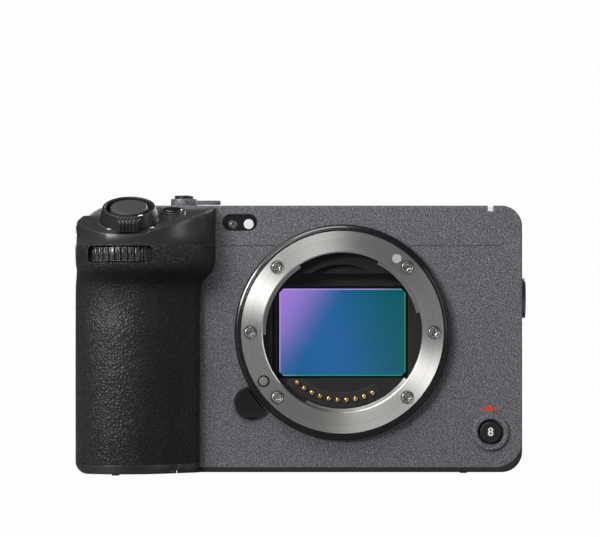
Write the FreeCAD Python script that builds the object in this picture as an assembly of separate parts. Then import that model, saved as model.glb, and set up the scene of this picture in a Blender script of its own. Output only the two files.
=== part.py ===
import FreeCAD, Part
import math
import os

# Compact digital cinema camera body, in millimetres.
# +Z is up, the front faces -Y, and +X is on the right as seen from the front.
# The origin is the mouth of the tripod thread: X = 0 is the optical axis, Z = 0 is where the feet stand.

os.makedirs("parts", exist_ok=True)
V = FreeCAD.Vector

# Clearances
SEAT = 0.05            # between pieces that are screwed or glued together
SLIDE = 0.3            # round a key or button that travels
GAP = 0.4              # round a door or a turning wheel
RUN = 0.05             # radial, of a pin in its bore
FAR = 200.0            # beyond every face of the camera, for the shapes that cut

# Body outline and shell
BODY_RIGHT = 52.2
BODY_LEFT = -76.5
BODY_FRONT = -21.5
BODY_REAR = 25.0
CORNER_R = 6.0
LEFT_CORNER_R = 10.0   # upper left corner, beside the grip's head
GREY_CORNER_R = 8.0    # lower right corner of the grey cover, inside the black band
WALL = 1.6
EDGE_BREAK = 0.5
SEAM_HEIGHT = 66.1     # between front cover and top cover
TOP_COVER_TALL = 11.7
BODY_TOP = SEAM_HEIGHT + TOP_COVER_TALL
REAR_SPLIT = 21.0
SIDE_SPLIT = BODY_FRONT + 3.1   # seam between the front cover and the side cover

# Base
FOOT_HEIGHT = 0.4
BASE_THICK = 1.5
BASE_BOTTOM = FOOT_HEIGHT
BASE_TOP = BASE_BOTTOM + BASE_THICK
BAND_TALL = 12.0
FEET = ((-65.0, -36.0), (-65.0, 17.0), (35.3, -14.0), (35.3, 16.0))
FOOT_HALF_WIDE, FOOT_HALF_LONG, FOOT_CORNER = 1.05, 2.5, 1.0
FOOT_ROOT = 0.5        # how far each pad reaches into the base plate
SOCKET_R = 6.5
SOCKET_FLANGE_R = SOCKET_R + 2.0
SOCKET_DEPTH = 7.0
THREAD_R = 2.55        # minor radius of a quarter inch thread
THREAD_DEPTH = 6.5
THREAD_FLOOR = 1.5     # metal under a blind thread

# Lens mount
AXIS_HEIGHT = 41.0
MOUNT_STAND = 4.5      # flange face in front of the body's front face
FLANGE_DEPTH = 18.0    # flange face to sensor surface
FLANGE_Y = BODY_FRONT - MOUNT_STAND
SENSOR_Y = FLANGE_Y + FLANGE_DEPTH
THROAT_R = 23.05
THROAT_EDGE = 0.35
MOUNT_R = 29.3
MOUNT_THICK = 2.4
RING_SEAT_Y = FLANGE_Y + MOUNT_THICK
MOUNT_LIP_R = 22.2
MOUNT_LIP_THICK = 0.95  # lip that holds the throat's wall; the ring is wider behind it
MOUNT_RELIEF = 0.5
MOUNT_LIP_BACK = 1.8   # bayonet tabs behind the flange face
MOUNT_TAB_THICK = 1.2
MOUNT_TAB_OUTER_R = THROAT_R + 2 * MOUNT_RELIEF
TAB_SPANS = ((14.4, 63.0), (122.8, 181.8), (242.6, 323.6))
BASE_RING_R = 31.3
BASE_RING_TOP_R = 29.8
BASE_RING_STEP = 0.4   # base ring's face behind the flange face
BASE_BORE_R = 24.4
MOUNT_HOLE_R = 28.6
SPIGOT_DEEP = 3.2
SCREW_CIRCLE_R = 26.6
SCREW_ANGLES = (0.0, 45.0, 135.0, 180.0, 225.0, 315.0)
SCREW_HEAD_R = 1.65
SCREW_HEAD_DEEP = 1.2
SCREW_SINK = 0.15      # head below the flange face
SCREW_SHANK_R = 0.85
CROSS_HALF_LONG, CROSS_HALF_WIDE, CROSS_DEEP = 0.75, 0.17, 0.6
LOCK_PIN_R = 1.2
LOCK_PIN_STAND = 0.9
LOCK_PIN_CIRCLE_R = 26.8
LOCK_PIN_ANGLE = 211.8
LOCK_PIN_IN_FRAME = 1.2
INDEX_CIRCLE_R = 26.5
INDEX_R = 1.3
INDEX_ANGLE = 53.7
INDEX_DEEP = 0.5

# Lens release button
RELEASE_ANGLE = 217.7
RELEASE_R = 4.4
RELEASE_REACH = 38.0   # far end of the button from the optical axis
RELEASE_STAND = 1.7
RELEASE_DEEP = 12.0
RELEASE_THICK = 6.2
RELEASE_ARM = 12.0

# Front record button
RECORD_X = 43.0
RECORD_Z = 12.0
RECORD_R = 3.1
RECORD_DEEP = 3.3
RECORD_RING_R = 5.3
RECORD_RING_HOLE = 3.9
RECORD_RING_STAND = 0.9
RECORD_SPIGOT_R = RECORD_RING_HOLE + 0.8
RECORD_SPIGOT_DEEP = 2.4

# Window and tally lamp
WINDOW_X = -29.8
WINDOW_Z = BODY_TOP - 4.9
WINDOW_WIDE = 10.2
WINDOW_TALL = 4.9
WINDOW_THICK = 0.9
WINDOW_SINK = 0.1
OPTICS_X = (-27.2, -31.8)
OPTICS_Z = WINDOW_Z - 0.4
OPTICS_R = 1.3
TALLY_X = 43.0
TALLY_WIDE = 1.6
TALLY_TALL = 1.7
TALLY_DEEP = 2.4

# Threaded bosses and inserts
SIDE_BOSS_Y = -10.0
SIDE_BOSS_Z = 51.0
SIDE_BOSS_R = 5.8
SIDE_BOSS_STAND = 1.3
LEFT_BOSS_Y = -5.0
LEFT_BOSS_Z = SEAM_HEIGHT + 0.1
LEFT_BOSS_R = 6.4
LEFT_BOSS_STAND = 1.7
LEFT_BOSS_BACK = 0.75  # the boss's back, beyond the body's side
INSERT_R = 4.4
INSERT_DEEP = 8.2
TOP_THREADS = ((-24.0, -11.0), (36.0, -11.0), (36.0, 14.0))

# Vents and side doors
VENT_Y0, VENT_Y1 = 3.5, 18.5
VENT_Z0, VENT_Z1 = SEAM_HEIGHT - 21.1, SEAM_HEIGHT - 3.1
VENT_COUNT = 6
VENT_TALL = 1.6
DATA_DOOR = (-16.5, -1.5, 12.6, SEAM_HEIGHT - 25.1)   # y0, y1, z0, z1 of the opening in the side
AUDIO_DOOR = (2.5, 19.5, 12.6, SEAM_HEIGHT - 25.1)
CARD_DOOR = (-1.0, 20.0, 12.0, SEAM_HEIGHT - 18.1)
PIN_LENGTH = 2.0
DOOR_PIN_R = 0.4
DOOR_HALF = WALL / 2
SIDE_DOOR_X = BODY_RIGHT - DOOR_HALF
CARD_DOOR_X = BODY_LEFT + 0.3

# Grip
GRIP_SPLIT = -41.4     # grey front cover meets the grip here
SKIN = 1.2
GRIP_BAND_TOP = 3.0    # black base band under the grip
GRIP_LOW_CORNER_R = 4.5
GRIP_BACK_X = GRIP_SPLIT + 12.0
FRAME_INNER_X = -44.0
GRIP_PALM = ((-41.4, -21.5), (-44.8, -28.5), (-50.0, -35.6), (-57.0, -42.0), (-66.0, -43.0),
             (-73.0, -38.2), (-76.6, -30.0), (-77.4, -21.0), (-77.5, -12.0), (-77.4, -3.5),
             (-77.2, 5.0), (-76.9, 13.0), (-76.5, 21.0))
GRIP_HEAD = ((-36.8, -21.5), (-39.2, -29.0), (-44.2, -36.4), (-51.6, -41.8), (-60.5, -43.9),
             (-69.0, -42.2), (-74.6, -36.5), (-76.6, -28.6), (-76.8, -20.0), (-76.8, -11.5),
             (-76.8, -3.0), (-76.7, 9.0), (-76.5, 21.0))
# rows: height, share of the head's outline in the palm's, depth in front of the body as a share
GRIP_SECTIONS = ((0.4, 0.0, 0.90), (0.212 * SEAM_HEIGHT, 0.0, 0.965), (0.424 * SEAM_HEIGHT, 0.0, 0.985),
                 (0.605 * SEAM_HEIGHT, 0.0, 0.95), (SEAM_HEIGHT - 17.1, 0.0, 0.86),
                 (SEAM_HEIGHT - 12.1, 0.06, 0.82), (SEAM_HEIGHT - 8.6, 0.50, 0.90),
                 (SEAM_HEIGHT - 5.8, 0.93, 0.985), (SEAM_HEIGHT - 2.9, 1.0, 1.0),
                 (SEAM_HEIGHT + 3.9, 1.0, 1.0), (BODY_TOP + 0.2, 1.0, 1.0))
GRIP_STEP = 3.0

# Grip head: the roof's side view as (y, drop below the body's top), then its tilt and the left bevel
HEAD_PROFILE = ((-46.0, 9.9), (-43.6, 8.6), (-40.0, 6.9), (-34.0, 4.8), (-27.5, 3.2), (-20.0, 2.0))
HEAD_TILT = 3.5
HEAD_TILT_X = -62.0
HEAD_BEVEL = ((-78.8, BODY_TOP - 8.6), (-73.4, BODY_TOP - 0.2))
ROOF_THICK = 1.5

# Controls on the grip
DIAL_X, DIAL_Y = -62.8, -34.4
DIAL_R = 9.6
DIAL_Z1 = SEAM_HEIGHT - 0.8
DIAL_Z0 = DIAL_Z1 - 4.0
DIAL_TEETH = 32
DIAL_NOTCH = 0.6
DIAL_PIN_R = 1.2
DIAL_PIN_UNDER = 3.6
DIAL_PIN_OVER = 0.8
SLOT_X0, SLOT_X1 = -72.8, -54.2
SLOT_CORNER = 1.2
HEAD_ANGLE = 25.0      # tilt of the shutter button
SHUTTER_BASE = V(-61.2, -34.0, BODY_TOP - 4.4)
SHUTTER_R = 5.43
SHUTTER_CAP_BASE = 1.9
SHUTTER_EDGE = 0.5
STEM_R = 1.6           # stem under every push button
LEVER_SKIRT_R = 8.57
LEVER_RIM_R = 7.66
LEVER_TALL = 4.1
LEVER_TAB_WIDE = 6.6
LEVER_TAB_REACH = 10.6
LEVER_TAB_TALL = 3.4
LEVER_RIBS = 6
LEVER_RIB_DEEP = 0.6
PAD_R = 8.9
PAD_THICK = 3.2
CUSTOM_BASE = V(-49.0, -27.7, BODY_TOP - 2.6)
CUSTOM_ANGLE = 14.0
CUSTOM_R = 2.8
CUSTOM_TOP = 1.5
CUSTOM_DEEP = 2.4
CUSTOM_EDGE = 0.35
CUSTOM_BEZEL_R = 3.78
CUSTOM_BEZEL_STAND = 1.0
CUSTOM_BEZEL_DEEP = 3.0

# Battery, its door and the card slots
BATTERY_WIDE = 22.7
BATTERY_DEEP = 38.7
BATTERY_TALL = SEAM_HEIGHT - 14.4
BATTERY_CORNER = 2.0
BATTERY_X = -72.9
BATTERY_Y = -29.5
BATTERY_Z = 3.9
BATTERY_DOOR = (-74.4, -48.0, -31.0, 11.0)   # x0, x1, y0, y1
BATTERY_DOOR_HALF = 1.0
BATTERY_DOOR_CORNER = 2.5
LATCH_X, LATCH_Y = -53.5, -22.0
LATCH_HALF_LONG, LATCH_HALF_WIDE, LATCH_THICK = 3.0, 2.0, 1.0
LATCH_TRAVEL = 2.0
CARD_X0, CARD_X1 = -74.2, -46.5
CARD_Y0, CARD_Y1 = 10.9, 20.6
CARD_Z0, CARD_Z1 = 13.0, SEAM_HEIGHT - 19.1
CARD_SLOT_WIDE = 3.2
CARD_SLOT_TALL = 28.5
CARD_SLOT_DEEP = 22.0
CARD_SLOT_WALL = 1.0

# Frame and light box behind the mount
FRAME_PLATE_Y0 = BODY_FRONT + SPIGOT_DEEP + SEAT
FRAME_PLATE_THICK = 3.0
FRAME_X0, FRAME_X1 = -37.0, 38.0
FRAME_TOP = AXIS_HEIGHT + 23.5
FRAME_FOOT_HALF_WIDE, FRAME_FOOT_Y1, FRAME_FOOT_THICK = 12.0, 11.0, 3.0
FRAME_BORE_R = 24.6
LIGHT_BOX_R = 24.2
LIGHT_BOX_FRONT = FLANGE_Y + MOUNT_LIP_BACK + MOUNT_TAB_THICK + 0.6
GATE_HALF_WIDE = 20.6
GATE_LOW = 13.4
GATE_HIGH = 17.1
BUMP_HIGH = 19.7
BUMP_HALF_WIDE = 9.2
BUMP_DEEP = 2.0
CONTACT_COUNT = 10
CONTACT_START = 228.0
CONTACT_STEP = 7.6
CONTACT_MARGIN = 6.0   # degrees of block past the last pins
CONTACT_CIRCLE_R = 19.6
CONTACT_PIN_R = 0.62
CONTACT_TIP = 0.3
BLOCK_INNER_R, BLOCK_OUTER_R = 17.4, 21.8
BLOCK_THICK = 2.0
BLOCK_Y0 = LIGHT_BOX_FRONT - 0.2
PIN_STAND = 1.0

# Shutter, sensor and stabiliser
SHUTTER_WIDE, SHUTTER_TALL, SHUTTER_THICK = 54.0, 44.0, 3.6
SHUTTER_GATE_HALF_WIDE, SHUTTER_GATE_HALF_TALL = 19.3, 13.6
BLADE_HALF_WIDE, BLADE_LOW, BLADE_HIGH = 20.3, 14.2, 18.4
BLADE_COUNT, BLADE_PITCH, BLADE_THICK = 3, 0.4, 0.2
SENSOR_WIDE, SENSOR_TALL = 37.0, 25.6
SENSOR_CORNER = 1.2
SENSOR_THICK = 1.2
CARRIER_WIDE, CARRIER_TALL, CARRIER_THICK = 47.0, 36.0, 1.6
STAGE_WIDE, STAGE_TALL, STAGE_THICK = 55.0, 44.0, 1.4
STAGE_RAIL = 8.0
PLATE_CORNER = 2.0

# Heat sink, fan and board
SINK_THICK = 1.6
SINK_HALF_WIDE, SINK_LOW, SINK_HIGH = 33.5, -25.0, 23.0
SINK_Y = SENSOR_Y + SENSOR_THICK + CARRIER_THICK + STAGE_THICK + 2 * SLIDE
FIN_COUNT = 8
FIN_TALL = 3.2
FIN_HALF = 0.4
FIN_MARGIN = 3.0
POST_R = 1.5
FAN_X, FAN_Z = 29.0, SEAM_HEIGHT - 14.1
FAN_R = 11.4
FAN_HOUSE_Y0, FAN_HOUSE_Y1 = 2.6, 11.0
FAN_HOUSE_X0, FAN_HOUSE_X1 = 14.5, 50.4
FAN_HOUSE_Z0, FAN_HOUSE_Z1 = SEAM_HEIGHT - 27.6, SEAM_HEIGHT - 1.5
FAN_WALL = 1.0
FAN_SPOKE_HALF = 0.6
FAN_HUB_R = 4.5
FAN_PIN_R = 1.0
FAN_BLADES = 9
FAN_BLADE_HALF = 0.35
FAN_BLADE_ANGLE = 28.0
BOARD_Y, BOARD_THICK = 12.0, 1.4
BOARD = (-40.0, 44.0, 6.0, SEAM_HEIGHT - 3.1)   # x0, x1, z0, z1
CHIPS = ((-18.0, 40.0), (2.0, 40.0), (2.0, 20.0))
CHIP_HALF, CHIP_THICK = 6.0, 1.2

# Sockets and shoe
SOCKET_BLOCK_DEEP = 12.0
SOCKET_BLOCK_MARGIN = 0.6
SOCKET_BLOCK_UNDER = 4.0   # block's top below the door opening's top
VIDEO_WIDE, VIDEO_TALL, VIDEO_DEEP, VIDEO_Z = 14.0, 4.6, 10.0, 13.2
DATA_WIDE, DATA_TALL, DATA_DEEP, DATA_Z = 7.4, 2.6, 7.0, 29.0
JACK_R, JACK_DEEP = 1.8, 9.0
JACK_HEIGHTS = (17.0, 29.0)
SHOE_X, SHOE_Y0, SHOE_Y1 = 9.3, -4.0, 15.4   # half width and run of the accessory shoe
SHOE_FLOOR = BODY_TOP - 4.2
SHOE_WALL = 1.2
SHOE_LIP = 3.0
SHOE_STOP = 2.0

# Controls on the top
POWER_X, POWER_Y = -47.1, 8.0
POWER_R = 3.9
POWER_STEM_R = 2.8
POWER_STEM_DEEP = 3.5
POWER_RECESS = 1.2
POWER_ARM_HALF, POWER_ARM_CORNER = 2.2, 1.8
LEVER_TOP = BODY_TOP + 2.8
LEVER_ARM_LOW, LEVER_ARM_HIGH = BODY_TOP + 1.1, LEVER_TOP - 0.5
LEVER_ARM_X = -36.2
KNOB_R = 2.75
KNOB_STAND, KNOB_SKIRT, KNOB_EDGE = 1.0, 0.5, 0.3
TOP_KEYS = ((-30.5, 9.0), (-21.5, 9.0))
TOP_KEY_R = 2.6
TOP_KEY_STAND = 0.6
KEY_UNDER = 1.2        # a key's length below the wall it goes through

# Rear cover, dial, wheel and joystick
REAR_DIAL_X, REAR_DIAL_Y, REAR_DIAL_R = -60.0, 19.0, 9.0
REAR_DIAL_Z0, REAR_DIAL_Z1 = BODY_TOP - 8.2, BODY_TOP - 3.8
REAR_DIAL_TEETH = 30
REAR_PIN_TOP = BODY_TOP - 0.7
MENU_KEY = (-34.0, BODY_TOP - 6.3)
PLAY_KEY = (-60.0, 22.0)
REAR_KEY_R = 2.4
REAR_KEY_STAND = 0.7
THUMB_X0, THUMB_X1 = -76.0, -66.5
THUMB_OUT = 15.5
THUMB_Z0, THUMB_Z1 = SEAM_HEIGHT - 28.1, SEAM_HEIGHT + 1.9
THUMB_CORNER = 3.0
THUMB_SLOPE_TOP = THUMB_Z1 - 9.0
WHEEL_X, WHEEL_Z, WHEEL_R = -46.0, 22.0, 9.5
WHEEL_THICK, WHEEL_TEETH, WHEEL_NOTCH = 2.8, 36, 0.5
WHEEL_STEM_R = 3.0
WHEEL_FLOOR = 1.4
WHEEL_KEY_R = 4.2
WHEEL_KEY_Y0, WHEEL_KEY_Y1 = BODY_REAR + 2.1, BODY_REAR + 3.5
STICK_X, STICK_Z, STICK_R = -42.0, SEAM_HEIGHT - 12.1, 4.2
STICK_HOLE_R = STICK_R + 1.6
STICK_Y = BODY_REAR - 2.2
STICK_RING_R, STICK_RING_HALF = 2.7, 0.7
STICK_PIN_R, STICK_PIN_REACH = 0.5, 5.6
STICK_STEM_R = 1.2
STICK_CAP_R, STICK_CAP_Y0, STICK_CAP_Y1 = 3.4, BODY_REAR + 1.4, BODY_REAR + 3.2

# Monitor
SCREEN_X0, SCREEN_X1 = -28.0, 45.2
SCREEN_Z0, SCREEN_Z1 = 7.0, SEAM_HEIGHT - 3.1
SCREEN_Y0, SCREEN_Y1 = 26.0, 33.3
SCREEN_CORNER = 3.5
GLASS_MARGIN, GLASS_MARGIN_RIGHT, GLASS_THICK, GLASS_CORNER = 2.5, 7.0, 1.0, 1.5
GLASS_SINK = 0.1
HINGE_X, HINGE_Y = 48.2, 29.65
HINGE_R = 2.4
HINGE_PIN_R = 1.0
HINGE_PIN_LONG = 4.6
HINGE_Z0, HINGE_Z1 = 26.0, 44.0
LUG_TALL = 7.0
ARM_REACH = 5.0
ARM_HALF = 1.3


def box(x0, x1, y0, y1, z0, z1):
    return Part.makeBox(x1 - x0, y1 - y0, z1 - z0, V(x0, y0, z0))


def cyl_x(x0, x1, y, z, r):
    return Part.makeCylinder(r, x1 - x0, V(x0, y, z), V(1, 0, 0))


def cyl_y(x, y0, y1, z, r):
    return Part.makeCylinder(r, y1 - y0, V(x, y0, z), V(0, 1, 0))


def cyl_z(x, y, z0, z1, r):
    return Part.makeCylinder(r, z1 - z0, V(x, y, z0), V(0, 0, 1))


def ring_y(x, y0, y1, z, outer, inner):
    return cyl_y(x, y0, y1, z, outer).cut(cyl_y(x, y0 - 1, y1 + 1, z, inner))


def fuse(*shapes):
    whole = shapes[0]
    for shape in shapes[1:]:
        whole = whole.fuse(shape)
    return whole.removeSplitter()


def cut(shape, *tools):
    for tool in tools:
        shape = shape.cut(tool)
    return shape


def on_mount(radius, angle):
    """Point at a radius and angle round the optical axis, as (x, z)."""
    turn = math.radians(angle)
    return radius * math.cos(turn), AXIS_HEIGHT + radius * math.sin(turn)


def tilted(shape, centre, degrees, axis=V(1, 0, 0)):
    """Turn a shape that was built upright at the origin and carry it to its place."""
    shape.rotate(V(0, 0, 0), axis, degrees)
    shape.translate(centre)
    return shape


def outline_prism(x0, x1, z0, z1, radii, y0, y1):
    """Rounded rectangle in X and Z, drawn from y0 to y1.

    radii: bottom left, bottom right, top right, top left.
    """
    corners = ((x0, z0, 1, 1), (x1, z0, -1, 1), (x1, z1, -1, -1), (x0, z1, 1, -1))
    ends = []
    for index, (x, z, sx, sz) in enumerate(corners):
        r = radii[index]
        along_x = V(x + sx * r, y0, z)
        along_z = V(x, y0, z + sz * r)
        mid = V(x + sx * r * (1 - math.sqrt(0.5)), y0, z + sz * r * (1 - math.sqrt(0.5)))
        first, last = (along_z, along_x) if index % 2 == 0 else (along_x, along_z)
        ends.append((first, mid, last))
    edges = []
    for index, (first, mid, last) in enumerate(ends):
        edges.append(Part.Arc(first, mid, last).toShape())
        edges.append(Part.LineSegment(last, ends[(index + 1) % 4][0]).toShape())
    return Part.Face(Part.Wire(edges)).extrude(V(0, y1 - y0, 0))


def rounded_plate_y(x0, x1, y0, y1, z0, z1, r):
    plate = box(x0, x1, y0, y1, z0, z1)
    edges = [edge for edge in plate.Edges if abs(edge.tangentAt(edge.FirstParameter).y) > 0.9]
    return plate.makeFillet(r, edges)


def rounded_plate_z(x0, x1, y0, y1, z0, z1, r):
    plate = box(x0, x1, y0, y1, z0, z1)
    edges = [edge for edge in plate.Edges if abs(edge.tangentAt(edge.FirstParameter).z) > 0.9]
    return plate.makeFillet(r, edges)


def knurled_disc(radius, height, teeth, depth):
    """Upright disc at the origin, with round-bottomed notches cut round its rim."""
    disc = Part.makeCylinder(radius, height)
    notch_r = math.pi * radius / teeth * 0.62
    notches = []
    for index in range(teeth):
        turn = 2 * math.pi * index / teeth
        reach = radius - depth + notch_r
        place = V(reach * math.cos(turn), reach * math.sin(turn), -1)
        notches.append(Part.makeCylinder(notch_r, height + 2, place))
    return disc.cut(Part.makeCompound(notches))


def save(name, shape):
    shape.exportStep("parts/" + name + ".step")


# Body shells

def body_prism(inset, y0, y1):
    r = CORNER_R - inset
    return outline_prism(BODY_LEFT + inset, BODY_RIGHT - inset, BASE_BOTTOM + inset, BODY_TOP - inset,
                         (r, r, r, LEFT_CORNER_R - inset), y0, y1)


def body_block():
    """Outer body with a small break round its front and rear edges."""
    block = body_prism(0.0, BODY_FRONT, BODY_REAR)
    edges = [edge for edge in block.Edges if edge.BoundBox.YLength < 0.001]
    return block.makeChamfer(EDGE_BREAK, edges)


def grey_prism(y0, y1):
    """What the grey covers fill: the base band stays below and round the lower right corner."""
    r = CORNER_R
    return outline_prism(BODY_LEFT - 5, BODY_RIGHT + 0.001, BASE_TOP, BODY_TOP + 0.001,
                         (r, GREY_CORNER_R, r, r), y0, y1)


BLOCK = body_block()
CAVITY = body_prism(WALL, BODY_FRONT + WALL, BODY_REAR - WALL)
SHELL = BLOCK.cut(CAVITY)


# Grip form

def grip_points(z, head, depth, inset):
    """Grip outline at one height, blended between palm and head and moved in by the inset."""
    plain = []
    for (px, py), (hx, hy) in zip(GRIP_PALM, GRIP_HEAD):
        x = px + (hx - px) * head
        y = py + (hy - py) * head
        if y < BODY_FRONT:
            y = BODY_FRONT + (y - BODY_FRONT) * depth
        plain.append((x, y))
    moved = []
    for index, (x, y) in enumerate(plain):
        before = plain[max(index - 1, 0)]
        after = plain[min(index + 1, len(plain) - 1)]
        dx, dy = after[0] - before[0], after[1] - before[1]
        size = math.hypot(dx, dy)
        moved.append(V(x + dy / size * inset, y - dx / size * inset, z))
    moved[0].y, moved[-1].y = plain[0][1], plain[-1][1]
    return moved


def blended(height, column):
    """A value of the section table at any height, eased between its rows."""
    for low, high in zip(GRIP_SECTIONS, GRIP_SECTIONS[1:]):
        if height <= high[0]:
            break
    share = (height - low[0]) / (high[0] - low[0])
    eased = share * share * (3 - 2 * share)
    return low[column] + (high[column] - low[column]) * eased


def grip_form(inset):
    """Closed solid of the grip: one smooth face round the hand, and flat faces behind it."""
    low, high = GRIP_SECTIONS[0][0], GRIP_SECTIONS[-1][0]
    steps = round((high - low) / GRIP_STEP)
    levels = [low + (high - low) * step / steps for step in range(steps + 1)]
    grid = [grip_points(z, blended(z, 1), blended(z, 2), inset) for z in levels]
    surface = Part.BSplineSurface()
    surface.interpolate(grid)
    palm = surface.toShape()
    front_low, front_high = V(GRIP_BACK_X, grid[0][0].y, low), V(GRIP_BACK_X, grid[0][0].y, high)
    back_low, back_high = V(GRIP_BACK_X, grid[0][-1].y, low), V(GRIP_BACK_X, grid[0][-1].y, high)

    def line(first, last):
        return Part.LineSegment(first, last).toShape()

    def side_at(test):
        return [edge for edge in palm.Edges if all(test(vertex.Point) for vertex in edge.Vertexes)]

    low_edge = side_at(lambda p: abs(p.z - low) < 0.01)
    high_edge = side_at(lambda p: abs(p.z - high) < 0.01)
    front_edge = side_at(lambda p: (p - grid[0][0]).Length < 0.01 or (p - grid[-1][0]).Length < 0.01)
    back_edge = side_at(lambda p: (p - grid[0][-1]).Length < 0.01 or (p - grid[-1][-1]).Length < 0.01)
    loops = (low_edge + [line(grid[0][0], front_low), line(front_low, back_low), line(back_low, grid[0][-1])],
             high_edge + [line(grid[-1][0], front_high), line(front_high, back_high),
                          line(back_high, grid[-1][-1])],
             front_edge + [line(grid[0][0], front_low), line(front_low, front_high),
                           line(front_high, grid[-1][0])],
             back_edge + [line(grid[0][-1], back_low), line(back_low, back_high),
                          line(back_high, grid[-1][-1])],
             [line(front_low, front_high), line(front_high, back_high), line(back_high, back_low),
              line(back_low, front_low)])
    faces = [palm] + [Part.Face(Part.Wire(Part.__sortEdges__(loop))) for loop in loops]
    shell = Part.makeShell(faces)
    shell.sewShape()
    solid = Part.makeSolid(shell)
    solid = solid if solid.Volume > 0 else solid.reversed()
    r = GRIP_LOW_CORNER_R - inset
    left = min(x for x, y in GRIP_PALM) + inset
    rounding = outline_prism(left, FAR, BASE_BOTTOM, FAR, (r, r, r, r), -FAR / 2, FAR / 2)
    return solid.common(rounding)


def head_roof(inset):
    """Everything below the head's sloped top and inside its left bevel, lowered by the inset."""
    curve = Part.BSplineCurve()
    curve.interpolate(Points=[V(-FAR, y, BODY_TOP - drop - inset) for y, drop in HEAD_PROFILE])
    start, end = curve.StartPoint, curve.EndPoint
    low_end, low_start = V(-FAR, end.y, -5), V(-FAR, start.y, -5)
    wire = Part.Wire([curve.toShape(), Part.LineSegment(end, low_end).toShape(),
                      Part.LineSegment(low_end, low_start).toShape(),
                      Part.LineSegment(low_start, start).toShape()])
    below = Part.Face(wire).extrude(V(2 * FAR, 0, 0))
    below.rotate(V(HEAD_TILT_X, 0, BODY_TOP), V(0, 1, 0), -HEAD_TILT)
    (x0, z0), (x1, z1) = HEAD_BEVEL
    corners = [V(x0, -FAR, z0 - inset), V(x1, -FAR, z1 - inset), V(x0, -FAR, z1 - inset)]
    corners.append(corners[0])
    bevel = Part.Face(Part.makePolygon(corners)).extrude(V(0, 2 * FAR, 0))
    return below.cut(bevel)


GRIP_OUTER = grip_form(0.0)
GRIP_INNER = grip_form(SKIN)
GRIP_CORE = grip_form(SKIN + SEAT)

# Front cover, top cover, rear cover and base


def release_form(extra, depth):
    """The release button's outline: a round end outside, cut by the mount's base ring."""
    x, z = on_mount(RELEASE_REACH - RELEASE_R, RELEASE_ANGLE)
    r = RELEASE_R + extra
    pad = cyl_y(x, BODY_FRONT - RELEASE_STAND, BODY_FRONT - RELEASE_STAND + depth, z, r)
    reach = box(-RELEASE_ARM, 0.0, 0.0, depth, -r, r)
    reach.rotate(V(0, 0, 0), V(0, 1, 0), -RELEASE_ANGLE)
    reach.translate(V(x, BODY_FRONT - RELEASE_STAND, z))
    limit = cyl_y(0.0, BODY_FRONT - 10, BODY_FRONT + 20, AXIS_HEIGHT, BASE_RING_R + 2 * SLIDE - extra)
    return pad.fuse(reach).removeSplitter().cut(limit)


def grey_wall(x0, y0, y1):
    """Walls of the grey body to the right of x0 and between two depths, below the seam."""
    region = box(x0, FAR, y0, y1, BASE_TOP, SEAM_HEIGHT - SEAT)
    floor = box(-FAR, BODY_RIGHT - GREY_CORNER_R, BODY_FRONT + WALL, FAR, 0.0, BASE_BOTTOM + WALL + SEAT)
    return SHELL.common(grey_prism(-FAR / 2, FAR / 2)).common(region).cut(floor)


def front_cover():
    return cut(grey_wall(GRIP_SPLIT, -FAR, SIDE_SPLIT - SEAT),
               cyl_y(0.0, BODY_FRONT - 1, BODY_FRONT + WALL + 1, AXIS_HEIGHT, MOUNT_HOLE_R + SEAT),
               release_form(SLIDE, RELEASE_DEEP),
               cyl_y(RECORD_X, BODY_FRONT - 1, BODY_FRONT + WALL + 1, RECORD_Z, RECORD_SPIGOT_R + SEAT))


def side_cover():
    """Right side of the body, with the air slots and the openings of the two doors."""
    holes = [cyl_x(BODY_RIGHT - WALL - 1, BODY_RIGHT + 1, SIDE_BOSS_Y, SIDE_BOSS_Z, INSERT_R + SEAT)]
    pitch = (VENT_Z1 - VENT_Z0) / VENT_COUNT
    for index in range(VENT_COUNT):
        z = VENT_Z0 + pitch * (index + 0.5)
        holes.append(box(BODY_RIGHT - WALL - 1, BODY_RIGHT + 1, VENT_Y0, VENT_Y1,
                         z - VENT_TALL / 2, z + VENT_TALL / 2))
    for y0, y1, z0, z1 in (DATA_DOOR, AUDIO_DOOR):
        holes.append(box(BODY_RIGHT - WALL - 1, BODY_RIGHT + 1, y0, y1, z0, z1))
    for size in (DATA_DOOR, AUDIO_DOOR):
        holes.append(side_door_pins(size, RUN))
    return cut(grey_wall(BODY_RIGHT - 2 * WALL, SIDE_SPLIT, REAR_SPLIT - SEAT), *holes)


def window_form(extra, y0, y1):
    half = WINDOW_WIDE / 2 + extra
    tall = WINDOW_TALL / 2 + extra
    return rounded_plate_y(WINDOW_X - half, WINDOW_X + half, y0, y1,
                           WINDOW_Z - tall, WINDOW_Z + tall, tall - 0.01)


def tally_form(extra):
    half = TALLY_WIDE / 2 + extra
    return box(TALLY_X - half, TALLY_X + half, BODY_FRONT - 1.0, BODY_FRONT + TALLY_DEEP,
               BODY_TOP - TALLY_TALL - extra, BODY_TOP + 1.0)


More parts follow.
